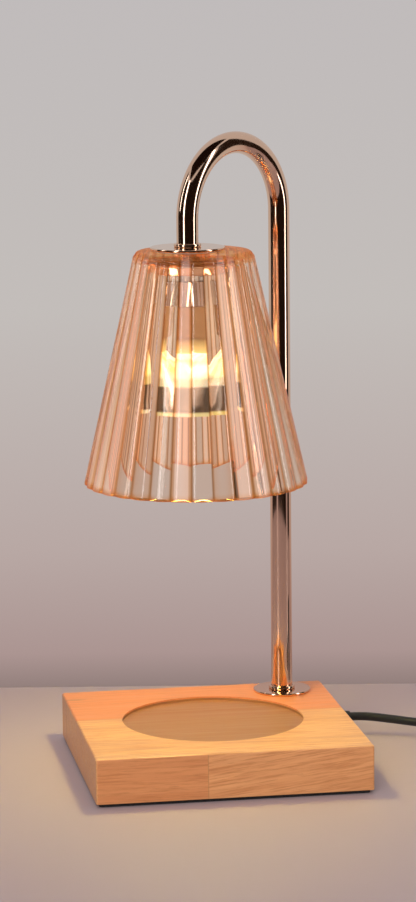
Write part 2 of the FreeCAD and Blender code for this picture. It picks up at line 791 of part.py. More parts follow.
def make_dimmer():
    y0 = dimmer_y - dimmer_width / 2.0
    y1 = dimmer_y + dimmer_width / 2.0
    wall = dimmer_wall
    outer = rounded_block(dimmer_x0, y0, 0, dimmer_x1, y1, dimmer_height, dimmer_corner)
    rims = [e for e in outer.Edges if e.BoundBox.ZLength < 0.01]
    outer = outer.makeFillet(dimmer_edge_round, rims)
    hollow = rounded_block(dimmer_x0 + wall, y0 + wall, wall, dimmer_x1 - wall, y1 - wall,
                           dimmer_height - wall, dimmer_corner - wall)
    case = outer.cut(hollow)
    wheel_x = dimmer_x0 + dimmer_length / 2.0
    wheel_y = y0 + wheel_radius - wheel_proud
    slot_height = wheel_height + 2.0 * wheel_gap
    case = case.cut(cylinder(wheel_radius + wheel_gap, slot_height, wheel_x, wheel_y,
                             dimmer_z - slot_height / 2.0))
    for x_wall, sign in ((dimmer_x0, 1), (dimmer_x1, -1)):
        neck = dimmer_relief_radius - dimmer_relief_groove + RUNNING
        case = case.cut(cylinder(neck, wall, x_wall, dimmer_y, dimmer_z, RIGHT * sign))
    board_z = wall + board_post_height
    board_x0 = wheel_x - board_length / 2.0
    board_x1 = wheel_x + board_length / 2.0
    board_y0 = dimmer_y - board_width / 2.0 + board_behind_middle
    split = block(dimmer_x0 - PAST, y0 - PAST, dimmer_z, dimmer_x1 + PAST, y1 + PAST, dimmer_height + PAST)
    upper = case.common(split)
    lower = case.cut(split)
    for x, y in dimmer_screw_places(y0, y1):
        lower = lower.fuse(cylinder(dimmer_boss_radius, dimmer_z - wall, x, y, wall))
        upper = upper.fuse(cylinder(dimmer_boss_radius, dimmer_height - wall - dimmer_z, x, y, dimmer_z))
    sink = dimmer_screw_sink
    screws = screws_at(dimmer_screw_places(y0, y1), dimmer_screw_radius, dimmer_z + dimmer_screw_grip, sink,
                       dimmer_screw_head_radius, countersink_height)
    holes = [cylinder(dimmer_screw_head_radius, sink, x, y, 0) for x, y in dimmer_screw_places(y0, y1)]
    lower = cut_all(lower, screws + holes)
    upper = cut_all(upper, screws)
    for x in (board_x0 + board_post_inset, board_x1 - board_post_inset):
        lower = lower.fuse(cylinder(board_post_radius, board_post_height, x, dimmer_y, wall))
    save("dimmer_lower_shell", lower)
    save("dimmer_upper_shell", upper)
    save("dimmer_screws", Part.makeCompound(screws))

    board = block(board_x0, board_y0, board_z, board_x1, board_y0 + board_width, board_z + board_thickness)
    save("dimmer_board", board)
    board_top = board_z + board_thickness
    wheel_z = dimmer_z - wheel_height / 2.0
    pot_height = wheel_z - LOOSE - board_top
    pot = cylinder(pot_radius, pot_height, wheel_x, wheel_y, board_top)
    save("dimmer_pot", pot.cut(cylinder(wheel_bore_radius, pot_height, wheel_x, wheel_y,
                                        board_top + pot_floor)))
    wheel = cylinder(wheel_radius, wheel_height, wheel_x, wheel_y, wheel_z)
    for k in range(wheel_notches):
        angle = 2.0 * math.pi * k / wheel_notches
        wheel = wheel.cut(cylinder(wheel_notch_radius, wheel_height, wheel_x + wheel_radius * math.cos(angle),
                                   wheel_y + wheel_radius * math.sin(angle), wheel_z))
    hub_z = board_top + pot_floor + RUNNING
    hub = cylinder(wheel_bore_radius - RUNNING, wheel_z - hub_z, wheel_x, wheel_y, hub_z)
    save("dimmer_wheel", wheel.fuse(hub))
    capacitor_x = board_x0 + capacitor_inset
    capacitor_y = dimmer_y - capacitor_front
    capacitor = block(capacitor_x, capacitor_y, board_top, capacitor_x + capacitor_length,
                      capacitor_y + capacitor_width, board_top + capacitor_height)
    choke = cylinder(choke_radius, choke_height, board_x1 - choke_inset, dimmer_y, board_top)
    triac_x = board_x1 - triac_inset
    triac_y = dimmer_y + triac_behind_middle
    triac = block(triac_x - triac_length, triac_y, board_top, triac_x, triac_y + triac_width,
                  board_top + triac_height)
    save("dimmer_components", Part.makeCompound([capacitor, choke, triac]))

    reliefs = {"dimmer_relief_in": (dimmer_x0, -1), "dimmer_relief_out": (dimmer_x1, 1)}
    ends = []
    for name, (x_wall, sign) in reliefs.items():
        save(name, relief_sleeve(x_wall, sign, dimmer_y, dimmer_z, dimmer_relief_outside,
                                 dimmer_relief_inside))
        inside_x = x_wall - sign * (dimmer_relief_inside + PAST)
        tip_x = x_wall + sign * dimmer_relief_outside
        ends.append(cylinder(cord_radius, abs(tip_x - inside_x), inside_x, dimmer_y, dimmer_z,
                             RIGHT * sign))
        board_end = board_x0 + dimmer_core_on_board if sign == -1 else board_x1 - dimmer_core_on_board
        for aside in (-core_gap, core_gap):
            points = [Vector(inside_x, dimmer_y + aside, dimmer_z),
                      Vector(inside_x - sign * dimmer_core_run, dimmer_y + aside * dimmer_core_spread,
                             dimmer_z - dimmer_core_drop),
                      Vector(board_end, dimmer_y + aside * dimmer_core_splay,
                             board_top + core_diameter / 2.0)]
            ends.append(tube_along(route_wire(points, "dimmer core"), core_diameter))
    save("dimmer_cord_ends", Part.makeCompound(ends))


def dimmer_screw_places(y0, y1):
    along = dimmer_boss_inset_x
    aside = dimmer_boss_inset_y
    return [(x, y) for x in (dimmer_x0 + along, dimmer_x1 - along) for y in (y0 + aside, y1 - aside)]


# Route of the lamp cord from the base to the dimmer, points chosen by hand
lead_route = [
    Vector(cord_exit_x, cord_exit_y, cord_exit_z),
    Vector(cord_exit_x + 8.0, cord_exit_y, cord_exit_z),
    Vector(cord_exit_x + 20.0, cord_exit_y - 3.2, 9.8),
    Vector(cord_exit_x + 34.0, cord_exit_y - 9.5, 8.6),
    Vector(cord_exit_x + 47.5, cord_exit_y - 17.4, 8.1),
    Vector(cord_exit_x + 59.0, cord_exit_y - 23.4, 8.6),
    Vector(cord_exit_x + 68.8, cord_exit_y - 26.8, 9.5),
    Vector(cord_exit_x + 76.9, dimmer_y, dimmer_z),
    Vector(dimmer_x0 - dimmer_relief_outside, dimmer_y, dimmer_z)]

# Route from the dimmer down to the floor and on to the first turn of the coil
link_route = [
    Vector(dimmer_x1 + dimmer_relief_outside, dimmer_y, dimmer_z),
    Vector(coil_x - 38.0, dimmer_y, dimmer_z),
    Vector(coil_x - 28.5, dimmer_y, 7.3),
    Vector(coil_x - 18.5, dimmer_y, 4.2),
    Vector(coil_x - 11.2, dimmer_y, coil_floor),
    Vector(coil_x - cord_diameter, dimmer_y, coil_floor)]

# Route from the last turn of the coil down to the plug
plug_route = [
    Vector(coil_x - cord_diameter, plug_y, coil_ceiling),
    Vector(coil_x - 18.5, plug_y, coil_ceiling),
    Vector(coil_x - 32.0, plug_y, 13.2),
    Vector(coil_x - 44.0, plug_y, 9.0),
    Vector(coil_x - 52.5, plug_y, plug_z),
    Vector(plug_relief_tip, plug_y, plug_z)]


def coil_point(turn):
    """The cord's middle line after this many turns, spiralling in and out and climbing between."""
    per_layer = coil_turns_per_layer
    layer = min(int(turn / per_layer), coil_layers - 1)
    share = turn / per_layer - layer
    if layer % 2 == 0:
        radius = coil_outer - share * (coil_outer - coil_inner)
    else:
        radius = coil_inner + share * (coil_outer - coil_inner)
    level = 0.0
    for k in range(1, coil_layers):
        passed = (turn - k * per_layer) / coil_climb_turns + 0.5
        passed = min(max(passed, 0.0), 1.0)
        level += passed
    angle = math.pi / 2.0 - 2.0 * math.pi * turn
    return Vector(coil_x + radius * math.cos(angle), coil_y + radius * math.sin(angle),
                  coil_floor + coil_layer_step * level)


def coil_heading(turn):
    """The way that the cord runs at this turn, square to the radius at both ends of the coil."""
    small = 0.01
    end = coil_turns_per_layer * coil_layers
    if turn < small:
        return RIGHT
    if turn > end - small:
        last = coil_point(end).sub(Vector(coil_x, coil_y, 0))
        heading = Vector(last.y, -last.x, 0)
        heading.normalize()
        return heading
    heading = coil_point(turn + small).sub(coil_point(turn - small))
    heading.normalize()
    return heading


def make_coil():
    end = coil_turns_per_layer * coil_layers
    count = int(round(end * 4))
    turns = [end * k / count for k in range(count + 1)]
    edges = []
    for a, b in zip(turns, turns[1:]):
        edges += biarc(coil_point(a), coil_heading(a), coil_point(b), coil_heading(b))
    start = coil_point(0)
    first = Part.LineSegment(start.sub(RIGHT * cord_diameter), start).toShape()
    last_heading = coil_heading(end)
    finish = coil_point(end).add(last_heading * cord_diameter)
    last = Part.LineSegment(coil_point(end), finish).toShape()
    wire = Part.Wire([first] + edges + [last])
    coil = tube_along(wire, cord_diameter)
    check_volume("cord_coil", coil, wire, cord_diameter)
    print("cord_coil length %.1f" % wire.Length)
    least_gap(wire, cord_diameter)
    save("cord_coil", coil)

    inner = coil_inner - cord_radius - LOOSE
    outer = coil_outer + cord_radius + LOOSE
    top = coil_ceiling + cord_radius + LOOSE
    y0 = coil_y - tie_width / 2.0
    y1 = coil_y + tie_width / 2.0
    strap = block(coil_x + inner - tie_wall, y0, 0, coil_x + outer + tie_wall, y1, top + tie_wall)
    save("coil_tie", strap.cut(block(coil_x + inner, y0, tie_wall, coil_x + outer, y1, top)))


def make_plug():
    y = plug_y
    root_x = plug_relief_tip - plug_relief_length
    nose_x = root_x - plug_body_length
    half = plug_body_width / 2.0
    relief = Part.makeCone(plug_relief_root_radius, relief_tip_radius, plug_relief_length,
                           Vector(root_x, y, plug_z), RIGHT)
    save("plug_relief", relief)
    body = rounded_block(nose_x, y - half, 0, root_x, y + half, plug_body_height, plug_corner)
    rims = [e for e in body.Edges if e.BoundBox.ZLength < 0.01]
    body = body.makeFillet(plug_nose_inset, rims)
    blades = []
    for sign in (-1, 1):
        side = y + sign * blade_spacing / 2.0 - blade_thickness / 2.0
        blades.append(block(nose_x - blade_length, side, plug_z - blade_width / 2.0, nose_x + blade_buried,
                            side + blade_thickness, plug_z + blade_width / 2.0))
    save("plug_body", cut_all(body, blades))
    save("plug_blades", Part.makeCompound(blades))


def least_gap(wire, diameter):
    """The least gap between parts of the wound cord that are over half a turn apart along it."""
    count = coil_gap_points
    spots = wire.discretize(Number=count)
    apart = int(count * math.pi * coil_inner / wire.Length)
    least = wire.Length
    for i in range(count):
        for j in range(i + apart, count):
            least = min(least, spots[i].distanceToPoint(spots[j]))
    print("cord_coil least gap to itself %.2f" % (least - diameter))


def make_cords():
    for name, route in (("lead_cord", lead_route), ("link_cord", link_route), ("plug_cord", plug_route)):
        wire = route_wire(route, name)
        tube = tube_along(wire, cord_diameter)
        check_volume(name, tube, wire, cord_diameter)
        save(name, tube)
    make_coil()


if __name__ == "__main__":
    os.makedirs("parts", exist_ok=True)
    make_base()
    make_post()
    make_neck()
    make_shade()
    make_holder()
    make_bulb()
    make_leads()
    make_base_wiring()
    make_dimmer()
    make_cords()
    make_plug()
    for name, shape in parts.items():
        print(name, shape.isValid(), len(shape.Solids), round(shape.Volume, 1))
        shape.exportStep("parts/" + name + ".step")
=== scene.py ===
import json
import math

import bmesh
import bpy
import numpy as np
from mathutils import Matrix, Vector

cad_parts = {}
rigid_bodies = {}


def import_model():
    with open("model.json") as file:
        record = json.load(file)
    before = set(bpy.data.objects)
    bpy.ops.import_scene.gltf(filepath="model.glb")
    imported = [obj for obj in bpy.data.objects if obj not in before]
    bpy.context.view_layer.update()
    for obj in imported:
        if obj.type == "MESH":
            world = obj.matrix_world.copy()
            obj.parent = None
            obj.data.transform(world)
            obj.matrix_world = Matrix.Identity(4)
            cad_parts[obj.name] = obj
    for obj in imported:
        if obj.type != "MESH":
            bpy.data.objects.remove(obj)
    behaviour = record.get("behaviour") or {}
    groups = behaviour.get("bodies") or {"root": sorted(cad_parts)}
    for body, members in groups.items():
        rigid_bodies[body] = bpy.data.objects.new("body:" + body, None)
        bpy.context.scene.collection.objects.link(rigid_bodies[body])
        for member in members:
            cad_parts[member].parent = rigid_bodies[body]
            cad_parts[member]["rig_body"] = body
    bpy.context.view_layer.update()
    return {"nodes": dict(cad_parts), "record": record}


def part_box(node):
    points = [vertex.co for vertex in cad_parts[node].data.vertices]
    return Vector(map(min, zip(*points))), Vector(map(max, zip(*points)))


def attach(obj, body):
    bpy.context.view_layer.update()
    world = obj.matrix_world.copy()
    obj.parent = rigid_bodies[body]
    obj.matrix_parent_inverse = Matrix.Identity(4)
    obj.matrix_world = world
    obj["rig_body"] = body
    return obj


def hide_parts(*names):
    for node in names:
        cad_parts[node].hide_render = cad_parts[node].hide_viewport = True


bl_info = {
    "name": "Candle warmer lamp",
    "version": (1, 0, 0),
    "blender": (4, 5, 0),
    "location": "3D View > Sidebar > Warmer lamp",
    "description": "Dresses a candle warmer lamp: wood, plated tube, fluted glass, bulb and cord",
    "category": "Object",
}

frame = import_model()
NODES = frame["nodes"]
SLOTS = {entry["node"]: entry["material_slot"] for entry in frame["record"]["subparts"]}
MM = 0.001

# Edges sharper than this stay sharp, and points nearer than these, in metres, are merged
SHARP = math.radians(28.0)
NODE_SEAM = 2e-6
TURNED_SEAM = 1e-7

# Camera, worked out from the edges of the base, tube and shade in the 416 by 902 photograph
CAMERA_PLACE = Vector((-0.28253, -1.72319, 0.47311))
CAMERA_TURN = math.radians(-9.27)
CAMERA_DIP = math.radians(9.65)
CAMERA_ROLL = math.radians(-0.59)
CAMERA_LENS = 129.8
CAMERA_SENSOR = 36.0

# Floor and backdrop: sizes in metres, and the backdrop's tones by their share of its tinted height.
# The tones go darker towards the backdrop's foot as painted shade.
BACKGROUND = (0.53, 0.50, 0.50)
WORLD_LIGHT = (0.37, 0.36, 0.36)
FLOOR_HALF = 12.0
FLOOR_TONES = ((0.405, 0.31, 0.32), (0.425, 0.33, 0.34))
BACKDROP_AWAY = 1.93
BACKDROP_HALF = 2.5
BACKDROP_TALL = 1.6
BACKDROP_TINTED = 0.42
BACKDROP_SHADED_TONES = [(0.0, (0.29, 0.215, 0.20)), (0.05, (0.41, 0.30, 0.285)), (0.2, (0.48, 0.39, 0.37)),
                  (0.55, (0.545, 0.51, 0.49)), (1.0, BACKGROUND)]

# Dark cards, by their bearing in degrees from the camera's own side, with a roof over them
CARD_AWAY = 0.64
CARD_TALL = 0.9
CARD_SPANS = [(-112.0, -46.0), (-28.0, 66.0), (84.0, 112.0)]
CARD_STEPS = 8
CARD_TONES = ((0.020, 0.012, 0.008), (0.035, 0.022, 0.015))
ROOF_HALF = 0.45

# Strip lights round the lamp: bearing as for the cards, distance, width and power. Each stands
# STRIP_LIFT over the floor and aims at STRIP_AIM of its own middle's height, over the lamp's middle.
STRIP_TALL = 0.8
STRIP_LIFT = 0.05
STRIP_AIM = 0.7
STRIPS = {"left strip": (-37.0, 0.6, 0.07, 1.0), "right strip": (75.0, 0.6, 0.065, 0.9),
          "far left strip": (-84.0, 0.62, 0.05, 0.6), "back strip": (150.0, 0.62, 0.06, 0.7)}

# Large soft lights: place, aim, power and tint
SOFT_SIZE = 2.4
SOFT_LIGHTS = {"top": ((-0.2, 0.2, 3.0), (0.0, 0.0, 0.0), 26.0, (1.0, 0.95, 0.90)),
               "front": ((-1.5, -3.6, 1.7), (0.0, 0.0, 0.05), 105.0, (1.0, 1.0, 1.0))}

# Boards of the base, in millimetres from its middle
GLUE_Y = 9.0
BUTT_X = -15.0
GLUE_HALF = 0.3
FACE_SKIN = 0.2
# Reach and depth of the seat, whose floor carries painted shade
SEAT_RADIUS = 50.2
SEAT_DEEP = 2.0
KNOT_PLACE = (-70.0, 56.0)
KNOT_HALF = (6.0, 1.6)

# Turned parts, in millimetres: the tube sits COLLAR_SEAT deep in its collars. The radii of the dish
# and the cup are those of their inside and outside.
COLLAR_SEAT = 0.9
COLLAR_RADIUS = 7.5
COLLAR_SOCKET = 6.05
NIPPLE_RADIUS = 5.0
NIPPLE_HOLE = 5.1
FLANGE_RADIUS = 16.25
UPPER_DISC_RADIUS = 20.25
DISH_RADII = (19.8, 21.0)
DISH_PLATE = 1.5
CUP_RADII = (11.8, 12.8)
CUP_PLATE = 1.0
EDGE_ROUND = {"post_flange": 0.7, "foot_collar": 0.8, "neck_collar": 0.8, "upper_disc": 0.6,
              "lower_disc": 0.5, "holder_cup": 0.9}
TURNED_FACES = 96
CORNER_STEPS = 4

# Tube: radius and wall in metres, steps along its straight and its arch, and faces round it
TUBE_RADIUS = 0.006
TUBE_WALL = 0.001
POST_STEPS = 12
ARCH_STEPS = 64
TUBE_SIDES = 48

# Glass shade: roundings in millimetres, rows of faces, and faces across one flute. FLUTE_START only
# keeps the count of flutes above zero, and PANEL_SEED also picks which of them are pressed thicker
# and which carry a painted reflection.
FLUTES = 32
FLUTE_SHARE = 0.115
FLUTE_START = 64.0
PANEL_SEED = 100.0
SHADE_ROWS = 16
SHOULDER_STEPS = 5
FLUTE_FACES = 12
RIM_ROUND = 1.3
HOLE_ROUND = 0.5
INNER_ROUND = 2.5
INNER_CUT = 0.6
RIM_LIP = 1.0
FLUTE_SHARP = math.radians(20.0)

# Glow of the pieces round the bulb's front glass, as shares of its strength
SHADE_GLOW = 0.0024
REFLECTOR_GLOW = 0.025
BASE_GLOW = 0.013

# Cord, the same points as the part's own route
CORD_DIAMETER = 4.8
CORD_EXIT = (87.0, 48.0, 11.0)
LEAD_ROUTE = [
    CORD_EXIT, (95.0, 48.0, 11.0), (107.0, 44.8, 9.8), (121.0, 38.5, 8.6), (134.5, 30.6, 8.1),
    (146.0, 24.6, 8.6), (155.8, 21.2, 9.5), (163.9, 20.0, 10.0), (171.7, 20.0, 10.0)]
COIL_X = 300.0
COIL_MEAN = 27.2
COIL_PITCH = 5.3
COIL_STEP = 5.3
COIL_LAYERS = 4
COIL_TURNS = 2.125
COIL_CLIMB = 0.5
COIL_POINTS = 16
COIL_OUTER = COIL_MEAN + COIL_TURNS * COIL_PITCH / 2.0
COIL_INNER = COIL_MEAN - COIL_TURNS * COIL_PITCH / 2.0
COIL_Y = 20.0 - COIL_OUTER
COIL_FLOOR = 3.05
COIL_CEILING = COIL_FLOOR + (COIL_LAYERS - 1) * COIL_STEP
PLUG_Y = COIL_Y - COIL_OUTER
LINK_ROUTE = [(253.7, 20.0, 10.0), (262.0, 20.0, 10.0), (271.5, 20.0, 7.3), (281.5, 20.0, 4.2),
              (288.8, 20.0, COIL_FLOOR)]
PLUG_ROUTE = [(281.5, PLUG_Y, COIL_CEILING), (268.0, PLUG_Y, 13.2), (256.0, PLUG_Y, 9.0),
              (247.5, PLUG_Y, 8.5), (239.5, PLUG_Y, 8.5)]


def floats(name, description, default, low, high):
    return bpy.props.FloatProperty(name=name, description=description, default=default, min=low,
                                   max=high)


def length(name, description, default):
    return bpy.props.FloatProperty(name=name, description=description, default=default, min=0.0,
                                   unit="LENGTH", precision=5)


def colour(name, description, default):
    return bpy.props.FloatVectorProperty(name=name, description=description, default=default, size=3,
                                         min=0.0, max=1.0, subtype="COLOR")


class ShadeSizes(bpy.types.PropertyGroup):
    """Sizes of the fluted glass shade."""
    rim_radius: length("Rim radius", "Outer radius over the flutes at the bottom rim", 0.0612)
    top_radius: length("Top radius", "Outer radius over the flutes at the top", 0.0322)
    wall: length("Wall", "Thickness of the glass wall", 0.004)
    plate: length("Plate", "Thickness of the top plate", 0.0055)
    shoulder: length("Shoulder", "Rounding between the side and the top", 0.003)
    hole_radius: length("Hole radius", "Hole for the nipple", 0.00875)
    flutes: bpy.props.IntProperty(name="Flutes", description="Flutes round the shade", default=FLUTES,
                                  min=8)
    flute_share: floats("Flute depth", "Depth of a flute over its width", FLUTE_SHARE, 0.0,
                        0.3)


class TubeSizes(bpy.types.PropertyGroup):
    """Sizes of the gooseneck tube."""
    radius: length("Radius", "Outer radius of the tube", TUBE_RADIUS)
    wall: length("Wall", "Wall of the tube", TUBE_WALL)
    arch_top: length("Arch top", "Height of the arch's middle line", 0.3415)


class LampColours(bpy.types.PropertyGroup):
    """Colours and light of the lamp."""
    wood: colour("Wood", "Middle colour of the rubberwood", (0.68, 0.345, 0.135))
    plate: colour("Plate", "Champagne gold plate", (0.86, 0.60, 0.44))
    glass: colour("Glass", "Tint of the shade where it is thin", (1.0, 0.92, 0.84))
    glass_edge: colour("Glass edge", "Tint of the shade at its edges", (0.98, 0.47, 0.15))
    rubber: colour("Rubber", "Cord, pad and dimmer", (0.012, 0.012, 0.013))
    glow: colour("Glow", "Light of the bulb", (1.0, 0.82, 0.26))
    glow_strength: floats("Glow strength", "How strongly the bulb shines", 60.0, 0.0, 150.0)


class Wire:
    """A socket of a node tree, with the sums that its output takes part in."""

    def __init__(self, nodes, socket):
        self.nodes = nodes
        self.socket = socket

    def sum(self, operation, a, b):
        return self.nodes.node("ShaderNodeMath", {"operation": operation}, {0: a, 1: b})

    def __add__(self, other):
        return self.sum("ADD", self, other)

    def __radd__(self, other):
        return self.sum("ADD", other, self)

    def __sub__(self, other):
        return self.sum("SUBTRACT", self, other)

    def __rsub__(self, other):
        return self.sum("SUBTRACT", other, self)

    def __mul__(self, other):
        return self.sum("MULTIPLY", self, other)

    def __rmul__(self, other):
        return self.sum("MULTIPLY", other, self)

    def __truediv__(self, other):
        return self.sum("DIVIDE", self, other)

    def __rtruediv__(self, other):
        return self.sum("DIVIDE", other, self)

    def __gt__(self, other):
        return self.sum("GREATER_THAN", self, other)

    def __lt__(self, other):
        return self.sum("LESS_THAN", self, other)


class Nodes:
    """A node tree in the making: all its nodes come from one method."""

    def __init__(self, tree):
        self.tree = tree

    def node(self, kind, settings=None, inputs=None, out=0):
        """Makes a node, sets it, then gives its sockets their values or links."""
        made = self.tree.nodes.new(kind)
        for key, value in (settings or {}).items():
            if key == "stops":
                self.set_stops(made.color_ramp, value)
            else:
                setattr(made, key, value)
        for key, value in (inputs or {}).items():
            self.feed(made.inputs[key], value)
        return Wire(self, made.outputs[out]) if made.outputs else None

    def set_stops(self, ramp, stops):
        while len(ramp.elements) < len(stops):
            ramp.elements.new(0.5)
        for element, (position, value) in zip(ramp.elements, stops):
            element.position = position
            element.color = (*value, 1.0)

    def feed(self, socket, value):
        """A wire is linked, a list gives a socket its many links, and the rest are plain values."""
        if isinstance(value, Wire):
            self.tree.links.new(value.socket, socket)
        elif isinstance(value, list):
            for one in value:
                self.feed(socket, one)
        elif isinstance(value, tuple) and len(value) == 3 and socket.type == "RGBA":
            socket.default_value = (*value, 1.0)
        else:
            socket.default_value = value

    def parts(self, vector):
        """The three numbers of a vector."""
        whole = self.node("ShaderNodeSeparateXYZ", None, {0: vector})
        return [Wire(self, output) for output in whole.socket.node.outputs]

    def of(self, operation, a, b=0.0):
        return self.node("ShaderNodeMath", {"operation": operation}, {0: a, 1: b})

    def mix(self, factor, first, second, blend="MIX"):
        return self.node("ShaderNodeMix", {"data_type": "RGBA", "blend_type": blend},
                         {0: factor, 6: first, 7: second}, out=2)


class Finish(Nodes):
    """A material in the making, with one Principled shader."""

    def __init__(self, name, **constants):
        self.material = bpy.data.materials.new(name)
        self.material.use_nodes = True
        super().__init__(self.material.node_tree)
        self.shader = self.tree.nodes["Principled BSDF"]
        self.output = self.tree.nodes["Material Output"]
        self.place = self.node("ShaderNodeTexCoord", out="Object")
        for socket, value in constants.items():
            self.shader.inputs[socket.replace("_", " ")].default_value = value

    def noise(self, scale, stretch=(1.0, 1.0, 1.0), detail=3.0, roughness=0.55):
        """Noise on the piece's own place, with scale cells in a metre."""
        spot = self.node("ShaderNodeMapping", None, {"Vector": self.place, "Scale": stretch})
        return self.noise_at(spot, scale, detail, roughness)

    def noise_at(self, spot, scale, detail, roughness=0.5, distortion=0.0):
        return self.node("ShaderNodeTexNoise", None, {"Vector": spot, "Scale": scale, "Detail": detail,
                                                      "Roughness": roughness, "Distortion": distortion})

    def ramp(self, factor, *stops):
        return self.node("ShaderNodeValToRGB", {"stops": stops}, {0: factor})

    def remap(self, value, low, high, to_low=0.0, to_high=1.0):
        return self.node("ShaderNodeMapRange", None, {0: value, 1: low, 2: high, 3: to_low, 4: to_high})

    def bearing(self, node):
        """The angle about the upright middle line of a node, in radians."""
        x, y, _ = self.parts(self.place)
        low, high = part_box(node)
        middle = (low + high) / 2.0
        return self.of("ARCTAN2", y - middle.y, x - middle.x)

    def bump(self, height, strength, distance):
        self.set("Normal", self.node("ShaderNodeBump", None, {"Height": height, "Strength": strength,
                                                              "Distance": distance}))

    def set(self, socket, value):
        self.feed(self.shader.inputs[socket], value)

    def colour(self, factor, first, second):
        """A base colour that goes from the first to the second."""
        self.set("Base Color", self.mix(factor, first, second))

    def rough(self, value, low, high):
        """Roughness from low to high, as a noise value goes through its middle range."""
        self.set("Roughness", self.remap(value, 0.3, 0.7, low, high))

    def blend(self, factor, first, second):
        return self.node("ShaderNodeMixShader", None, {0: factor, 1: first, 2: second})

    def show(self, shaded):
        self.feed(self.output.inputs[0], shaded)


def times(colour_value, factors):
    """A colour times a number, or times one number for each of its parts, held to 1."""
    if not isinstance(factors, tuple):
        factors = (factors,) * 3
    return tuple(min(c * k, 1.0) for c, k in zip(colour_value, factors))


def lacquered_wood(look):
    """Edge-glued rubberwood: a redder back board, grain along X, pores, a knot, thin glue lines and
    painted shade on the seat's floor.
    """
    finish = Finish("lacquered_wood", Coat_Weight=0.2, Coat_Roughness=0.22, IOR=1.48)
    x, y, z = finish.parts(finish.place)
    low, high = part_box("base_block")
    wood = tuple(look.wood)
    glue_y, butt_x = GLUE_Y * MM, BUTT_X * MM
    front_face = y < low.y + FACE_SKIN * MM
    side_face = (x < low.x + FACE_SKIN * MM) + (x > high.x - FACE_SKIN * MM)
    back_board = y > glue_y
    right_block = (x > butt_x) * front_face

    # Each board takes its grain from another place, and the right block's grain slants
    board = back_board * 0.6 + right_block * 0.31
    slant = right_block * (x - butt_x) * 0.12
    spot = finish.node("ShaderNodeCombineXYZ", None, {0: x * 0.045 + board, 1: y + board * 0.7,
                                                      2: z - slant + board * 0.23})
    warp = finish.noise_at(spot, 34.0, 2.0)
    figure = finish.noise_at(spot, 240.0, 6.0, 0.62, distortion=0.8)
    lines = finish.noise_at(spot, 760.0, 4.0, 0.7)
    pores = finish.noise(1300.0, (0.05, 1.0, 1.0), 3.0, 0.7)

    seat = high.z - SEAT_DEEP * MM / 2.0
    round_seat = x * x + y * y < (SEAT_RADIUS * MM) ** 2
    # The seat's floor is painted darker: painted shade in the recess
    painted_seat_shade = (z < seat) * round_seat * (z > seat - SEAT_DEEP * MM)
    knot_x = (x - KNOT_PLACE[0] * MM) / (KNOT_HALF[0] * MM)
    knot_y = (y - KNOT_PLACE[1] * MM) / (KNOT_HALF[1] * MM)
    knot = finish.remap(knot_x * knot_x + knot_y * knot_y, 1.6, 0.1)
    on_glue = finish.of("ABSOLUTE", y - glue_y) < GLUE_HALF * MM
    on_butt = (finish.of("ABSOLUTE", x - butt_x) < GLUE_HALF * MM) * front_face

    tone = finish.ramp(figure * 0.7 + warp * 0.4, (0.40, times(wood, (0.80, 0.70, 0.62))), (0.55, wood),
                       (0.72, times(wood, (1.16, 1.24, 1.30))))
    # Where each layer lies, how strong it is, and how it changes the colour of the wood
    layers = [
        (back_board * (1.0 - side_face), 0.85, (0.95, 0.56, 0.46)),
        (front_face * (1.0 - right_block), 0.6, (0.96, 0.62, 0.60)),
        (right_block, 0.45, (1.15, 0.92, 1.0)),
        (side_face, 0.45, (0.80, 0.62, 0.56)),
        (finish.remap(lines, 0.48, 0.62), 0.65, (0.72, 0.50, 0.40)),
        (finish.remap(pores, 0.60, 0.70), 0.4, (0.52, 0.40, 0.36)),
        (painted_seat_shade, 0.9, (0.40, 0.32, 0.26)),
        (knot, 0.5, 0.4),
        (on_glue + on_butt, 0.35, 0.5),
    ]
    for mask, strength, change in layers:
        tone = finish.mix(mask * strength, tone, times(wood, change))
    finish.set("Base Color", tone)
    finish.rough(figure, 0.34, 0.50)
    finish.bump(figure * 0.3 + pores * 0.5 - on_glue * 0.4, 0.25, 0.0002)
    return finish.material


def foam_pad():
    """Black foam with fine open cells."""
    finish = Finish("foam_pad", Specular_IOR_Level=0.3)
    cells = finish.noise(1400.0, detail=4.0)
    finish.set("Base Color", finish.ramp(cells, (0.35, (0.010, 0.010, 0.010)),
                                         (0.7, (0.035, 0.035, 0.036))))
    finish.rough(cells, 0.75, 0.92)
    finish.bump(cells, 0.5, 0.0003)
    return finish.material


def champagne_plate(look):
    """Polished champagne gold plating with faint haze and wipe marks."""
    finish = Finish("champagne_plate", Metallic=1.0)
    haze = finish.noise(26.0, detail=2.0)
    wipe = finish.noise(420.0, (1.0, 1.0, 0.08))
    plate = tuple(look.plate)
    finish.colour(finish.remap(haze, 0.35, 0.65), plate, times(plate, 1.06))
    finish.set("Roughness", finish.remap(haze * 0.6 + wipe * 0.4, 0.35, 0.65, 0.05, 0.10))
    finish.bump(wipe, 0.03, 0.0001)
    return finish.material


def plated_metal(name, colour_value, low, high, grain=600.0):
    """Plain plating: low and high are its least and its most roughness."""
    finish = Finish(name, Metallic=1.0)
    wear = finish.noise(grain)
    finish.colour(wear, times(colour_value, 0.9), colour_value)
    finish.rough(wear, low, high)
    finish.bump(wear, 0.08, 0.0001)
    return finish.material


def moulded(name, colour_value, low, high, grain=1100.0, depth=0.00015, strength=0.3):
    """Moulded plastic, rubber or nylon with a fine spark texture."""
    finish = Finish(name, Specular_IOR_Level=0.45)
    spark = finish.noise(grain)
    cloud = finish.noise(40.0, detail=2.0)
    finish.colour(cloud, times(colour_value, 0.86), colour_value)
    finish.rough(spark, low, high)
    finish.bump(spark, strength, depth)
    return finish.material


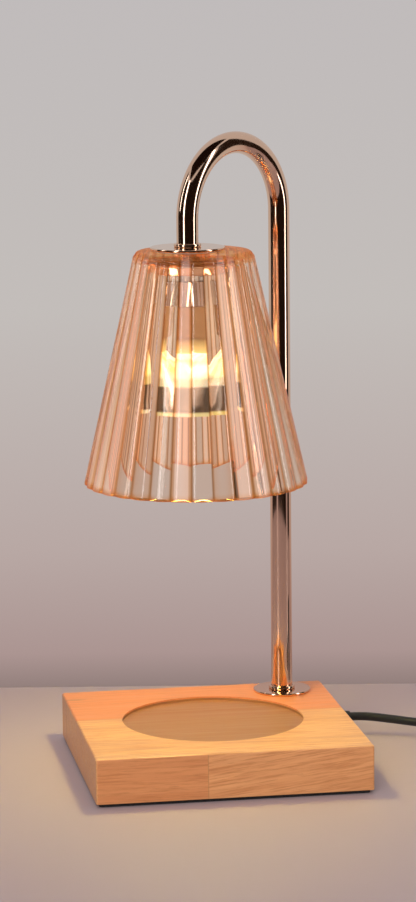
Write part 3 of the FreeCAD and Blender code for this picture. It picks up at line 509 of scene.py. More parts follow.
def amber_glass(look):
    """Amber glass, pressed thicker in some flutes than in others and deep orange at its edges, with
    painted shade in its flute valleys, a faint painted glow and painted reflections on a few pale
    panels.
    """
    finish = Finish("amber_glass", Transmission_Weight=1.0, IOR=1.46, Specular_IOR_Level=0.9,
                    Emission_Strength=look.glow_strength * SHADE_GLOW)
    z = finish.parts(finish.place)[2]
    low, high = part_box("glass_shade")
    tint = tuple(look.glass)
    edge = tuple(look.glass_edge)

    # The flute's own number, and how far a point is from that flute's middle, 0 to 1
    turn = finish.bearing("glass_shade") * (FLUTES / (2.0 * math.pi)) + PANEL_SEED
    panel = finish.node("ShaderNodeTexWhiteNoise", {"noise_dimensions": "1D"},
                        {"W": finish.of("FLOOR", turn)})
    side = finish.of("ABSOLUTE", finish.of("FRACT", turn) - 0.5) * 2.0
    streak = finish.noise(110.0, (1.0, 1.0, 0.06), detail=2.0)
    grazing = finish.node("ShaderNodeLayerWeight", None, {"Blend": 0.35}, out="Facing")
    rim = finish.remap(z, low.z + 4.0 * MM, low.z)
    crown = finish.remap(z, high.z - 4.5 * MM, high.z - 1.5 * MM)
    ends = rim + crown
    depth = finish.remap(grazing * 0.7 + ends * 0.5 + panel * 0.9 + side * side * 0.35 + streak * 0.4,
                         0.55, 1.55)
    # Dark lines in the flute valleys are painted shade
    painted_valley_shade = finish.remap(side, 0.82, 0.96)
    finish.colour(painted_valley_shade * 0.9, finish.mix(depth, tint, edge), times(edge, 0.45))
    finish.rough(streak, 0.0, 0.015)
    # A faint orange glow over all the glass is painted light from the bulb, and a few pale panels glow
    # pinkish white as a painted reflection
    pale = finish.remap(panel, 0.60, 0.64) * (side < 0.66)
    finish.set("Emission Color", finish.mix(pale, times(edge, 0.15), (0.95, 0.80, 0.76)))

    # Thick edges let orange light straight through, and shadows stay thin and warm
    glass = Wire(finish, finish.shader.outputs[0])
    thick = finish.node("ShaderNodeBsdfTransparent", None, {"Color": (1.0, 0.53, 0.22)})
    thin = finish.node("ShaderNodeBsdfTransparent", None, {"Color": (1.0, 0.88, 0.80)})
    shadow = finish.node("ShaderNodeLightPath", out="Is Shadow Ray")
    edges = finish.remap(grazing + ends * 0.7 + side * side * 0.2, 0.40, 1.2, 0.05, 0.75)
    finish.show(finish.blend(shadow * 0.8, finish.blend(edges, glass, thick), thin))
    return finish.material


def clear_glass():
    """Clear glass with a slight smear."""
    finish = Finish("clear_glass", Transmission_Weight=1.0, IOR=1.46)
    smear = finish.noise(80.0, detail=2.0)
    finish.colour(smear, (0.97, 0.95, 0.90), (1.0, 0.99, 0.96))
    finish.rough(smear, 0.0, 0.04)
    return finish.material


def lit_reflector(look):
    """The bulb's mirrored reflector: light leaks out above its dark front ring, facet by facet."""
    finish = Finish("lit_reflector", Metallic=0.9,
                    Emission_Strength=look.glow_strength * REFLECTOR_GLOW)
    z = finish.parts(finish.place)[2]
    low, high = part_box("bulb_reflector")
    rise = finish.remap(z, low.z, high.z)
    glow = tuple(look.glow)
    facet = finish.of("SINE", finish.bearing("bulb_reflector") * 26.0)
    patch = finish.noise(120.0, (1.0, 1.0, 0.2), detail=2.0)
    # How much light leaks out, by the share of the reflector's height
    leaks = [(0.0, 0.5), (0.05, 0.5), (0.08, 0.0), (0.47, 0.0), (0.50, 0.45), (0.60, 0.5), (0.66, 1.0),
             (1.0, 1.0)]
    leak = finish.ramp(rise, *((share, (light,) * 3) for share, light in leaks))
    # The mirror's colour goes from near black to bright, facet by facet and in patches: painted dark
    # and bright reflections
    finish.set("Base Color", finish.ramp(facet * 0.35 + patch, (0.35, (0.10, 0.10, 0.10)),
                                         (0.6, (0.92, 0.91, 0.90))))
    finish.rough(patch, 0.16, 0.26)
    finish.bump(patch, 0.1, 0.0002)
    cells = finish.ramp(patch, (0.38, glow), (0.5, (1.0, 0.86, 0.48)), (0.60, (1.0, 0.92, 0.78)))
    finish.set("Emission Color", finish.mix(1.0, leak, cells, "MULTIPLY"))
    return finish.material


def lit_ceramic(look):
    """Tan glazed ceramic that glows a little where the bulb's base lights it."""
    finish = Finish("lit_ceramic", Specular_IOR_Level=0.45,
                    Emission_Strength=look.glow_strength * BASE_GLOW)
    z = finish.parts(finish.place)[2]
    low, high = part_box("bulb_base")
    speck = finish.noise(300.0)
    finish.colour(speck, (0.44, 0.28, 0.14), (0.54, 0.36, 0.19))
    finish.rough(speck, 0.3, 0.5)
    finish.bump(speck, 0.15, 0.0001)
    near = finish.remap(z, high.z - 1.0 * MM, low.z)
    finish.set("Emission Color", finish.mix(near, (0.0, 0.0, 0.0), tuple(look.glow)))
    return finish.material


def lit_lens(look):
    """Pressed front glass of the bulb, as bright as the bulb."""
    finish = Finish("lit_lens", Roughness=0.25, Emission_Strength=look.glow_strength)
    cells = finish.node("ShaderNodeTexVoronoi", None, {"Vector": finish.place, "Scale": 320.0})
    glow = tuple(look.glow)
    finish.colour(cells, (0.9, 0.88, 0.82), (0.8, 0.78, 0.72))
    finish.set("Emission Color", finish.mix(cells, glow, times(glow, 1.15)))
    finish.bump(cells, 0.3, 0.0004)
    return finish.material


def finishes(look):
    """Every finish of the lamp by the record's material slot."""
    rubber = tuple(look.rubber)
    return {
        "wood": lacquered_wood(look),
        "pad": foam_pad(),
        "gold": champagne_plate(look),
        "zinc": plated_metal("zinc_plate", (0.55, 0.56, 0.58), 0.25, 0.42),
        "chrome": plated_metal("bright_chrome", (0.72, 0.70, 0.68), 0.05, 0.12, 200.0),
        "amber_glass": amber_glass(look),
        "clear_glass": clear_glass(),
        "mirror_glass": lit_reflector(look),
        "ceramic": lit_ceramic(look),
        "silicone": moulded("silicone", (0.62, 0.60, 0.56), 0.35, 0.5),
        "black_plastic": moulded("black_plastic", rubber, 0.38, 0.55, 1500.0, 0.0002, 0.45),
        "black_rubber": moulded("cord_rubber", rubber, 0.42, 0.55, 900.0, 0.0001, 0.2),
        "wire_white": moulded("wire_white", (0.70, 0.69, 0.66), 0.3, 0.4),
        "cap_white": moulded("cap_nylon", (0.75, 0.74, 0.70), 0.35, 0.5),
        "brass": plated_metal("contact_brass", (0.72, 0.52, 0.24), 0.18, 0.32),
        "board": moulded("board_laminate", (0.03, 0.16, 0.07), 0.3, 0.45),
        "component": moulded("component_black", (0.03, 0.03, 0.035), 0.4, 0.6),
        "lens": lit_lens(look),
    }


def finish_of(node):
    """The finish that goes with the node's material slot in the record."""
    return STORE["materials"][SLOTS[node]]


def linked(name, data):
    """A new object of the scene."""
    made = bpy.data.objects.new(name, data)
    bpy.context.scene.collection.objects.link(made)
    return made


def put(name, mesh, material, node):
    """Links a finished mesh, gives it its finish, and lets it stand for the node it replaces."""
    piece = linked(name, mesh)
    mesh.materials.clear()
    mesh.materials.append(material)
    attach(piece, NODES[node]["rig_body"])
    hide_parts(node)
    return piece


def smooth_by_angle(mesh, angle=SHARP):
    """Smooth shading, apart from edges sharper than the angle."""
    mesh.polygons.foreach_set("use_smooth", [True] * len(mesh.polygons))
    made = bmesh.new()
    made.from_mesh(mesh)
    for edge in made.edges:
        edge.smooth = len(edge.link_faces) == 2 and edge.calc_face_angle(0.0) < angle
    made.to_mesh(mesh)
    made.free()


def evaluated_mesh(piece):
    """A plain mesh of what an object looks like with its modifiers."""
    bpy.context.view_layer.update()
    graph = bpy.context.evaluated_depsgraph_get()
    return bpy.data.meshes.new_from_object(piece.evaluated_get(graph))


def even_normals(mesh):
    """Normals weighted by face area, so that flats beside a small rounding stay flat."""
    holder = linked("holder", mesh)
    weigh = holder.modifiers.new("Weigh", "WEIGHTED_NORMAL")
    weigh.keep_sharp = True
    weigh.weight = 80
    result = evaluated_mesh(holder)
    bpy.data.objects.remove(holder)
    return result


def merge_doubles(mesh, reach, turn_out=False):
    """Merges points closer than reach, and turns a closed shell's faces outwards where asked."""
    made = bmesh.new()
    made.from_mesh(mesh)
    bmesh.ops.remove_doubles(made, verts=made.verts, dist=reach)
    if turn_out:
        bmesh.ops.recalc_face_normals(made, faces=made.faces)
    made.to_mesh(mesh)
    made.free()


def refined(node, name, material=None):
    """The node's own shape with its seams closed and its roundings shaded smooth."""
    mesh = NODES[node].data.copy()
    merge_doubles(mesh, NODE_SEAM)
    smooth_by_angle(mesh)
    return put(name, even_normals(mesh), material or finish_of(node), node)


def paint(*nodes):
    """Gives carried-over nodes their finish."""
    for node in nodes:
        slots = NODES[node].data.materials
        slots.clear()
        slots.append(finish_of(node))


def rounded_profile(points, radius):
    """A closed (radius, height) outline with its corners rounded."""
    result = []
    for k, corner in enumerate(points):
        here = Vector(corner)
        way_in = Vector(points[k - 1]) - here
        way_out = Vector(points[(k + 1) % len(points)]) - here
        reach = min(radius, way_in.length * 0.45, way_out.length * 0.45)
        start = here + way_in.normalized() * reach
        end = here + way_out.normalized() * reach
        for step in range(CORNER_STEPS + 1):
            t = step / CORNER_STEPS
            result.append(tuple(start * (1 - t) ** 2 + here * 2 * t * (1 - t) + end * t ** 2))
    return result


def turned_mesh(name, profile, centre, segments):
    """A closed profile of (radius, height) in metres, turned about the upright line at centre."""
    rows = len(profile)
    verts = []
    for k in range(segments):
        angle = 2.0 * math.pi * k / segments
        c, s = math.cos(angle), math.sin(angle)
        verts += [(centre[0] + r * c, centre[1] + r * s, z) for r, z in profile]
    faces = []
    for k in range(segments):
        after = (k + 1) % segments
        for j in range(rows):
            up = (j + 1) % rows
            faces.append((k * rows + j, after * rows + j, after * rows + up, k * rows + up))
    mesh = bpy.data.meshes.new(name)
    mesh.from_pydata(verts, [], faces)
    merge_doubles(mesh, TURNED_SEAM, turn_out=True)
    return mesh


def turned(node, name, outline, centre):
    """A turned metal part in place of its node, with its edges broken."""
    profile = rounded_profile([(r * MM, z * MM) for r, z in outline], EDGE_ROUND[node] * MM)
    mesh = turned_mesh(name, profile, centre, TURNED_FACES)
    smooth_by_angle(mesh)
    return put(name, even_normals(mesh), finish_of(node), node)


def centre_of(node):
    """Where a node's upright middle line stands."""
    low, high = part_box(node)
    return ((low.x + high.x) / 2.0, (low.y + high.y) / 2.0)


def heights_of(node):
    """The lowest and highest level of a node, in millimetres."""
    low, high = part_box(node)
    return low.z / MM, high.z / MM


def ring_outline(node, outer):
    """A flat ring with the nipple's hole in it."""
    z0, z1 = heights_of(node)
    return [(NIPPLE_HOLE, z0), (outer, z0), (outer, z1), (NIPPLE_HOLE, z1)]


def collar_outline(node):
    """A ring with a step in its top, where the tube sits."""
    z0, z1 = heights_of(node)
    step = z1 - COLLAR_SEAT
    return [(NIPPLE_RADIUS, z0), (COLLAR_RADIUS, z0), (COLLAR_RADIUS, z1), (COLLAR_SOCKET, z1),
            (COLLAR_SOCKET, step), (NIPPLE_RADIUS, step)]


def dish_outline(node, hole, radii, plate):
    """A dish that opens downwards, by its hole, its inside and outside radius and its plate."""
    z0, z1 = heights_of(node)
    inside, outside = radii
    under = z1 - plate
    return [(hole, under), (inside, under), (inside, z0), (outside, z0), (outside, z1), (hole, z1)]


class Tree(Nodes):
    """A geometry node tree in the making, with named inputs."""

    def __init__(self, name, inputs):
        super().__init__(bpy.data.node_groups.new(name, "GeometryNodeTree"))
        face = self.tree.interface
        face.new_socket("Geometry", in_out="INPUT", socket_type="NodeSocketGeometry")
        self.sockets = {}
        for label, kind, value in inputs:
            socket = face.new_socket(label, in_out="INPUT", socket_type=kind)
            if value is not None:
                socket.default_value = value
            self.sockets[label] = socket.identifier
        face.new_socket("Geometry", in_out="OUTPUT", socket_type="NodeSocketGeometry")
        self.entry = self.node("NodeGroupInput").socket.node

    def given(self, label):
        return Wire(self, self.entry.outputs[label])

    def finish(self, geometry):
        """Ends the tree in plain geometry with its material."""
        real = self.node("GeometryNodeRealizeInstances", None, {0: geometry})
        shown = self.node("GeometryNodeSetMaterial", None, {0: real,
                                                            "Material": self.given("Material")})
        self.node("NodeGroupOutput", None, {0: shown})

    def apply(self, piece, values):
        """The piece's mesh as the tree leaves it, with the modifier taken off again."""
        modifier = piece.modifiers.new(self.tree.name, "NODES")
        modifier.node_group = self.tree
        for label, value in values.items():
            modifier[self.sockets[label]] = value
        mesh = evaluated_mesh(piece)
        piece.modifiers.remove(modifier)
        return mesh


def flute_tree():
    """Presses convex flutes into a turned body, by how much each point's flute value says."""
    tree = Tree("Flutes", [("Count", "NodeSocketInt", FLUTES),
                           ("Depth share", "NodeSocketFloat", FLUTE_SHARE),
                           ("Centre X", "NodeSocketFloat", 0.0), ("Centre Y", "NodeSocketFloat", 0.0),
                           ("Material", "NodeSocketMaterial", None)])
    x, y, _ = tree.parts(tree.node("GeometryNodeInputPosition"))
    x = x - tree.given("Centre X")
    y = y - tree.given("Centre Y")
    step = 2.0 * math.pi / tree.given("Count")
    across = tree.of("FRACT", tree.of("ARCTAN2", y, x) / step + FLUTE_START)
    off = across * 2.0 - 1.0
    weight = tree.node("GeometryNodeInputNamedAttribute", {"data_type": "FLOAT"}, {"Name": "flute"})
    inward = off * off * step * tree.given("Depth share") * weight * -1.0
    shift = tree.node("ShaderNodeCombineXYZ", None, {0: x * inward, 1: y * inward})
    moved = tree.node("GeometryNodeSetPosition", None, {"Geometry": tree.given("Geometry"),
                                                        "Offset": shift})
    tree.finish(moved)
    return tree


def tube_tree():
    """A hollow tube of a given radius and wall along a path."""
    tree = Tree("Bent tube", [("Radius", "NodeSocketFloat", TUBE_RADIUS),
                              ("Wall", "NodeSocketFloat", TUBE_WALL),
                              ("Sides", "NodeSocketInt", TUBE_SIDES),
                              ("Material", "NodeSocketMaterial", None)])
    skins = []
    for radius in (tree.given("Radius"), tree.given("Radius") - tree.given("Wall")):
        ring = tree.node("GeometryNodeCurvePrimitiveCircle", None, {"Resolution": tree.given("Sides"),
                                                                    "Radius": radius})
        skins.append(tree.node("GeometryNodeCurveToMesh", None, {0: tree.given("Geometry"), 1: ring}))
    lining = tree.node("GeometryNodeFlipFaces", None, {0: skins[1]})
    both = tree.node("GeometryNodeJoinGeometry", None, {0: [skins[0], lining]})
    tree.finish(tree.node("GeometryNodeSetShadeSmooth", None, {0: both}))
    return tree


def area_light(name, place, aim, size, power, tint=(1.0, 1.0, 1.0)):
    """A flat light at a place, turned to shine at its aim."""
    light = bpy.data.lights.new(name, "AREA")
    light.shape = "RECTANGLE"
    light.size, light.size_y = size
    light.energy = power
    light.color = tint
    holder = linked(name, light)
    holder.location = place
    holder.rotation_euler = (Vector(place) - Vector(aim)).to_track_quat("Z", "Y").to_euler()
    return holder


def make_camera():
    """The camera at the photograph's own place and angle."""
    a, e, r = CAMERA_TURN, CAMERA_DIP, CAMERA_ROLL
    back = Vector((math.sin(a) * math.cos(e), -math.cos(a) * math.cos(e), math.sin(e)))
    right = Vector((math.cos(a), math.sin(a), 0.0))
    up = back.cross(right)
    across = right * math.cos(r) + up * math.sin(r)
    upward = up * math.cos(r) - right * math.sin(r)
    data = bpy.data.cameras.new("camera")
    data.sensor_width = CAMERA_SENSOR
    data.lens = CAMERA_LENS
    data.clip_start = 0.01
    camera = linked("camera", data)
    camera.matrix_world = Matrix.Translation(CAMERA_PLACE) @ Matrix(
        (across, upward, back)).transposed().to_4x4()
    bpy.context.scene.camera = camera


def make_world():
    """Even soft light from all round; the camera, metal and glass see the pale background instead."""
    world = bpy.data.worlds.new("studio")
    bpy.context.scene.world = world
    world.use_nodes = True
    sky = Nodes(world.node_tree)
    rays = sky.node("ShaderNodeLightPath").socket.node.outputs
    seen = sum((Wire(sky, rays[kind]) for kind in ("Is Glossy Ray", "Is Transmission Ray")),
               Wire(sky, rays["Is Camera Ray"]))
    tone = sky.mix(sky.of("MINIMUM", seen, 1.0), WORLD_LIGHT, BACKGROUND)
    sky.feed(sky.tree.nodes["Background"].inputs["Color"], tone)


def staged(name, verts, faces, material):
    """A piece of the studio, which isn't part of the lamp."""
    mesh = bpy.data.meshes.new(name)
    mesh.from_pydata(verts, [], faces)
    mesh.materials.append(material)
    piece = linked(name, mesh)
    return piece


def square(half, level):
    """The corners of a level square about the lamp's middle."""
    return [(x * half, y * half, level) for x, y in ((-1, -1), (1, -1), (1, 1), (-1, 1))]


def make_floor():
    """A wide plain floor with a faint mottle."""
    finish = Finish("floor", Roughness=0.55, Specular_IOR_Level=0.25)
    finish.colour(finish.noise(3.0, detail=2.0), *FLOOR_TONES)
    staged("floor", square(FLOOR_HALF, 0.0), [(0, 1, 2, 3)], finish.material)


def make_backdrop():
    """A backdrop behind the lamp that shows its own tones, darker towards its foot as painted shade,
    and isn't there when seen from behind.
    """
    across = Vector((math.cos(CAMERA_TURN), math.sin(CAMERA_TURN), 0.0))
    ahead = Vector((-math.sin(CAMERA_TURN), math.cos(CAMERA_TURN), 0.0))
    foot = Vector((CAMERA_PLACE.x, CAMERA_PLACE.y, 0.0)) + ahead * BACKDROP_AWAY
    half = across * BACKDROP_HALF
    up = Vector((0.0, 0.0, BACKDROP_TALL))
    finish = Finish("backdrop")
    z = finish.parts(finish.place)[2]
    # Darker towards the foot: painted shade
    tone = finish.ramp(finish.remap(z, 0.0, BACKDROP_TINTED), *BACKDROP_SHADED_TONES)
    glow = finish.node("ShaderNodeEmission", None, {"Color": tone, "Strength": 1.0})
    gone = finish.node("ShaderNodeBsdfTransparent")
    behind = finish.node("ShaderNodeNewGeometry", out="Backfacing")
    finish.show(finish.blend(behind, glow, gone))
    wall = staged("backdrop", [foot - half, foot + half, foot + half + up, foot - half + up],
                  [(0, 1, 2, 3)], finish.material)
    wall.visible_diffuse = False
    wall.visible_shadow = False


def make_cards():
    """Dark cards round and over the lamp, seen only in reflections: they give the plating its bands."""
    finish = Finish("dark_card", Roughness=0.9, Specular_IOR_Level=0.0)
    finish.colour(finish.noise(4.0), *CARD_TONES)
    toward = math.atan2(CAMERA_PLACE.y, CAMERA_PLACE.x)
    shapes = []
    for start, end in CARD_SPANS:
        verts = []
        for j in range(CARD_STEPS + 1):
            angle = toward + math.radians(start + (end - start) * j / CARD_STEPS)
            x, y = CARD_AWAY * math.cos(angle), CARD_AWAY * math.sin(angle)
            verts += [(x, y, 0.0), (x, y, CARD_TALL)]
        shapes.append((verts, [(2 * j, 2 * j + 2, 2 * j + 3, 2 * j + 1) for j in range(CARD_STEPS)]))
    shapes.append((square(ROOF_HALF, CARD_TALL), [(0, 1, 2, 3)]))
    for verts, faces in shapes:
        card = staged("dark_card", verts, faces, finish.material)
        card.visible_camera = False
        card.visible_diffuse = False
        card.visible_transmission = False
        card.visible_shadow = False


def strip_light(name, bearing, away, wide, power):
    """A light at a bearing from the camera's own side, in degrees, seen only in metal and glass."""
    angle = math.atan2(CAMERA_PLACE.y, CAMERA_PLACE.x) + math.radians(bearing)
    place = (away * math.cos(angle), away * math.sin(angle), STRIP_TALL / 2.0 + STRIP_LIFT)
    strip = area_light(name, place, (0.0, 0.0, place[2] * STRIP_AIM), (wide, STRIP_TALL), power)
    strip.visible_diffuse = False


def soft_light(name, place, aim, power, tint):
    """A large light that isn't seen in metal and glass."""
    soft = area_light(name, place, aim, (SOFT_SIZE, SOFT_SIZE), power, tint)
    soft.visible_glossy = False
    soft.visible_transmission = False


class StageOperator(bpy.types.Operator):
    """Make the camera, the studio light and the floor"""
    bl_idname = "warmer.stage"
    bl_label = "Stage"

    def execute(self, context):
        make_camera()
        make_world()
        make_floor()
        make_backdrop()
        make_cards()
        for name, settings in STRIPS.items():
            strip_light(name, *settings)
        for name, settings in SOFT_LIGHTS.items():
            soft_light(name, *settings)
        context.scene.view_settings.view_transform = "Standard"
        return {"FINISHED"}


def open_curve(name, kind, points):
    """A curve of one open spline on the given points, in metres."""
    curve = bpy.data.curves.new(name, "CURVE")
    curve.dimensions = "3D"
    spline = curve.splines.new(kind)
    spline.points.add(len(points) - 1)
    for spot, place in zip(spline.points, points):
        spot.co = (*place, 1.0)
    return curve, spline


def nurbs_cord(name, route):
    """A round cord on one smooth spline, whose control points are the route's, in millimetres."""
    curve, spline = open_curve(name, "NURBS", [[c * MM for c in point] for point in route])
    curve.bevel_depth = CORD_DIAMETER * MM / 2.0
    curve.bevel_resolution = 5
    curve.resolution_u = 6
    curve.use_fill_caps = True
    spline.order_u = 3
    spline.use_endpoint_u = True
    curve.materials.append(finish_of("cord_coil"))
    piece = linked(name, curve)
    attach(piece, "lamp")
    return piece


def coil_points():
    """The wound cord's route: in and out at a steady rate, climbing where it turns back."""
    total = COIL_TURNS * COIL_LAYERS
    swing = COIL_OUTER - COIL_INNER
    count = int(total * COIL_POINTS)
    points = []
    for k in range(count + 1):
        turn = total * k / count
        layer = min(int(turn / COIL_TURNS), COIL_LAYERS - 1)
        share = turn / COIL_TURNS - layer
        radius = COIL_OUTER - share * swing if layer % 2 == 0 else COIL_INNER + share * swing
        level = sum(min(max((turn - j * COIL_TURNS + COIL_CLIMB / 2.0) / COIL_CLIMB, 0.0), 1.0)
                    for j in range(1, COIL_LAYERS))
        angle = math.pi / 2.0 - 2.0 * math.pi * turn
        points.append((COIL_X + radius * math.cos(angle), COIL_Y + radius * math.sin(angle),
                       COIL_FLOOR + COIL_STEP * level))
    return points


class CordOperator(bpy.types.Operator):
    """Lay the mains cord with its strain relief, coil and tie"""
    bl_idname = "warmer.cord"
    bl_label = "Cord"

    def execute(self, context):
        relief = refined("cord_relief", "base_strain_relief")
        lead = nurbs_cord("lamp_lead", LEAD_ROUTE)
        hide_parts("lead_cord")
        rest = nurbs_cord("mains_lead", LINK_ROUTE + coil_points() + PLUG_ROUTE)
        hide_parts("link_cord", "cord_coil", "plug_cord")
        tie = refined("coil_tie", "hook_tie")
        paint("cord_tail")
        return {"FINISHED"}


class DimmerOperator(bpy.types.Operator):
    """Dress the wheel dimmer on the cord"""
    bl_idname = "warmer.dimmer"
    bl_label = "Dimmer"

    def execute(self, context):
        names = {"dimmer_lower_shell": "dimmer_base", "dimmer_upper_shell": "dimmer_lid",
                 "dimmer_wheel": "thumb_wheel", "dimmer_relief_in": "dimmer_inlet_sleeve",
                 "dimmer_relief_out": "dimmer_outlet_sleeve", "dimmer_screws": "dimmer_lid_screws"}
        pieces = [refined(node, name) for node, name in names.items()]
        inside = ["dimmer_board", "dimmer_pot", "dimmer_components", "dimmer_cord_ends"]
        paint(*inside)
        STORE["dimmer"] = pieces + [NODES[node] for node in inside]
        return {"FINISHED"}


class PlugOperator(bpy.types.Operator):
    """Dress the mains plug"""
    bl_idname = "warmer.plug"
    bl_label = "Plug"

    def execute(self, context):
        names = {"plug_body": "plug_shell", "plug_relief": "plug_sleeve", "plug_blades": "plug_prongs"}
        STORE["plug"] = [refined(node, name) for node, name in names.items()]
        return {"FINISHED"}


class BaseOperator(bpy.types.Operator):
    """Dress the wooden base, its pad and the wiring in its pocket"""
    bl_idname = "warmer.base"
    bl_label = "Base"

    def execute(self, context):
        refined("base_block", "wooden_base")
        refined("base_pad", "foot_pad")
        paint("pocket_cover", "cover_screws", "cord_clamp", "clamp_screws", "crimp_caps", "lamp_leads",
              "foot_nipple", "foot_washer", "foot_lock_washer", "foot_nut")
        return {"FINISHED"}


class GooseneckOperator(bpy.types.Operator):
    """Bend the plated tube and turn its flange and collars"""
    bl_idname = "warmer.gooseneck"
    bl_label = "Gooseneck"

    def execute(self, context):
        sizes = context.scene.warmer_tube
        foot = centre_of("foot_collar")
        arm = centre_of("neck_collar")
        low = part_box("foot_collar")[1].z - COLLAR_SEAT * MM
        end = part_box("neck_collar")[1].z - COLLAR_SEAT * MM
        start = Vector((*foot, 0.0))
        across = Vector((*arm, 0.0)) - start
        radius = across.length / 2.0
        spring = sizes.arch_top - radius
        middle = start + across / 2.0
        points = [start + Vector((0, 0, low + (spring - low) * k / POST_STEPS))
                  for k in range(POST_STEPS)]
        for k in range(ARCH_STEPS + 1):
            angle = math.pi * k / ARCH_STEPS
            points.append(middle - across.normalized() * radius * math.cos(angle)
                          + Vector((0, 0, spring + radius * math.sin(angle))))
        points.append(Vector((*arm, end)))
        path = linked("tube_path", open_curve("tube_path", "POLY", points)[0])
        plate = finish_of("gooseneck_tube")
        mesh = tube_tree().apply(path, {"Radius": sizes.radius, "Wall": sizes.wall,
                                        "Sides": TUBE_SIDES, "Material": plate})
        bpy.data.objects.remove(path)
        put("bent_tube", mesh, plate, "gooseneck_tube")

        turned("post_flange", "foot_flange", ring_outline("post_flange", FLANGE_RADIUS), foot)
        turned("foot_collar", "foot_ring", collar_outline("foot_collar"), foot)
        turned("neck_collar", "neck_ring", collar_outline("neck_collar"), arm)
        turned("upper_disc", "top_clamp_plate", ring_outline("upper_disc", UPPER_DISC_RADIUS), arm)
        turned("lower_disc", "under_clamp_dish",
               dish_outline("lower_disc", NIPPLE_HOLE, DISH_RADII, DISH_PLATE), arm)
        paint("upper_gasket", "lower_gasket", "neck_nut", "neck_nipple")
        return {"FINISHED"}


class ShadeOperator(bpy.types.Operator):
    """Press the fluted glass shade"""
    bl_idname = "warmer.shade"
    bl_label = "Glass shade"

    def execute(self, context):
        glass = finish_of("glass_shade")
        sizes = context.scene.warmer_shade
        low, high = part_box("glass_shade")
        centre = centre_of("glass_shade")
        slope = (sizes.rim_radius - sizes.top_radius) / (high.z - low.z)

        def outside(z):
            return sizes.rim_radius - slope * (z - low.z)

        # Radius, height and flute value: up the outside, over the top and down the inside
        shoulder = sizes.shoulder
        under = high.z - sizes.plate
        rim, cut, lip = RIM_ROUND * MM, INNER_CUT * MM, RIM_LIP * MM
        edge, corner = HOLE_ROUND * MM, INNER_ROUND * MM
        foot = outside(low.z)
        profile = [(foot - rim, low.z, 1.0), (foot - rim * 0.3, low.z + rim * 0.3, 1.0)]
        for k in range(SHADE_ROWS + 1):
            z = low.z + rim + (high.z - shoulder - low.z - rim) * k / SHADE_ROWS
            profile.append((outside(z), z, 1.0))
        for k in range(1, SHOULDER_STEPS + 1):
            share = k / SHOULDER_STEPS
            angle = math.pi / 2.0 * share
            profile.append((sizes.top_radius - shoulder + shoulder * math.cos(angle),
                            high.z - shoulder + shoulder * math.sin(angle), 1.0 - 0.8 * share))
        hole = sizes.hole_radius
        profile += [(hole + edge, high.z, 0.0), (hole, high.z - edge, 0.0), (hole, under + edge, 0.0),
                    (hole + edge, under, 0.0)]
        inner = outside(under) - sizes.wall
        profile += [(inner - corner, under, 0.0), (inner - cut, under - cut, 0.0)]
        for k in range(SHADE_ROWS + 1):
            z = under - corner - (under - corner - low.z - lip) * k / SHADE_ROWS
            profile.append((outside(z) - sizes.wall, z, 0.0))
        profile.append((foot - sizes.wall + lip, low.z, 0.2))
        mesh = turned_mesh("shade", [(r, z) for r, z, _ in profile], centre, sizes.flutes * FLUTE_FACES)

        # Merging the seams moves points about, so each finds its own flute value in the outline again
        weight = mesh.attributes.new("flute", "FLOAT", "POINT")
        places = np.array([(v.co.x - centre[0], v.co.y - centre[1], v.co.z) for v in mesh.vertices])
        radii = np.hypot(places[:, 0], places[:, 1])
        table = np.array(profile)
        nearest = [int(np.argmin((table[:, 0] - r) ** 2 + (table[:, 1] - z) ** 2))
                   for r, z in zip(radii, places[:, 2])]
        weight.data.foreach_set("value", table[nearest, 2].astype(np.float32))
        blank = linked("shade_blank", mesh)
        pressed = flute_tree().apply(blank, {"Count": sizes.flutes, "Depth share": sizes.flute_share,
                                             "Centre X": centre[0], "Centre Y": centre[1],
                                             "Material": glass})
        bpy.data.objects.remove(blank)
        smooth_by_angle(pressed, FLUTE_SHARP)
        put("fluted_shade", pressed, glass, "glass_shade")
        return {"FINISHED"}


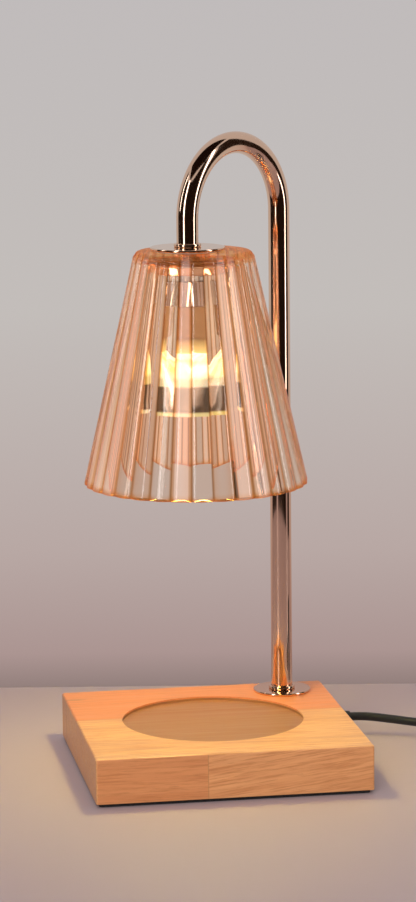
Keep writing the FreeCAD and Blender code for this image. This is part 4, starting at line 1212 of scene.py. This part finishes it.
class HolderOperator(bpy.types.Operator):
    """Dress the chrome cup, the ceramic lampholder and its contacts"""
    bl_idname = "warmer.holder"
    bl_label = "Lampholder"

    def execute(self, context):
        arm = centre_of("neck_collar")
        turned("holder_cup", "chrome_cup",
               dish_outline("holder_cup", NIPPLE_RADIUS, CUP_RADII, CUP_PLATE), arm)
        refined("lamp_holder", "ceramic_holder")
        paint("holder_contacts", "holder_screws", "holder_bracket")
        return {"FINISHED"}


class BulbOperator(bpy.types.Operator):
    """Dress the reflector bulb and light it"""
    bl_idname = "warmer.bulb"
    bl_label = "Bulb"

    def execute(self, context):
        refined("bulb_reflector", "bulb_mirror")
        refined("bulb_lens", "bulb_front", STORE["materials"]["lens"])
        refined("bulb_base", "bulb_cap")
        paint("bulb_pins", "bulb_burner")
        return {"FINISHED"}


class WarmerPanel(bpy.types.Panel):
    """Lists the lamp's pieces and sizes"""
    bl_idname = "VIEW3D_PT_warmer"
    bl_label = "Warmer lamp"
    bl_space_type = "VIEW_3D"
    bl_region_type = "UI"
    bl_category = "Warmer lamp"

    def draw(self, context):
        for operator in OPERATORS:
            self.layout.operator(operator.bl_idname)
        for group in GROUPS:
            sizes = getattr(context.scene, group)
            for name in sizes.__annotations__:
                self.layout.prop(sizes, name)


OPERATORS = [StageOperator, DimmerOperator, PlugOperator, CordOperator, BaseOperator, GooseneckOperator,
             ShadeOperator, HolderOperator, BulbOperator]
GROUPS = {"warmer_shade": ShadeSizes, "warmer_tube": TubeSizes, "warmer_look": LampColours}
CLASSES = list(GROUPS.values()) + OPERATORS + [WarmerPanel]
STORE = {}


def register():
    for cls in CLASSES:
        bpy.utils.register_class(cls)
    for name, group in GROUPS.items():
        setattr(bpy.types.Scene, name, bpy.props.PointerProperty(type=group))


def unregister():
    for name in GROUPS:
        delattr(bpy.types.Scene, name)
    for cls in reversed(CLASSES):
        bpy.utils.unregister_class(cls)


def main():
    register()
    STORE["materials"] = finishes(bpy.context.scene.warmer_look)
    bpy.ops.warmer.stage()
    bpy.ops.warmer.dimmer()
    bpy.ops.warmer.plug()
    bpy.ops.warmer.cord()
    bpy.ops.warmer.base()
    bpy.ops.warmer.gooseneck()
    bpy.ops.warmer.shade()
    bpy.ops.warmer.holder()
    bpy.ops.warmer.bulb()


if __name__ == "__main__":
    main()
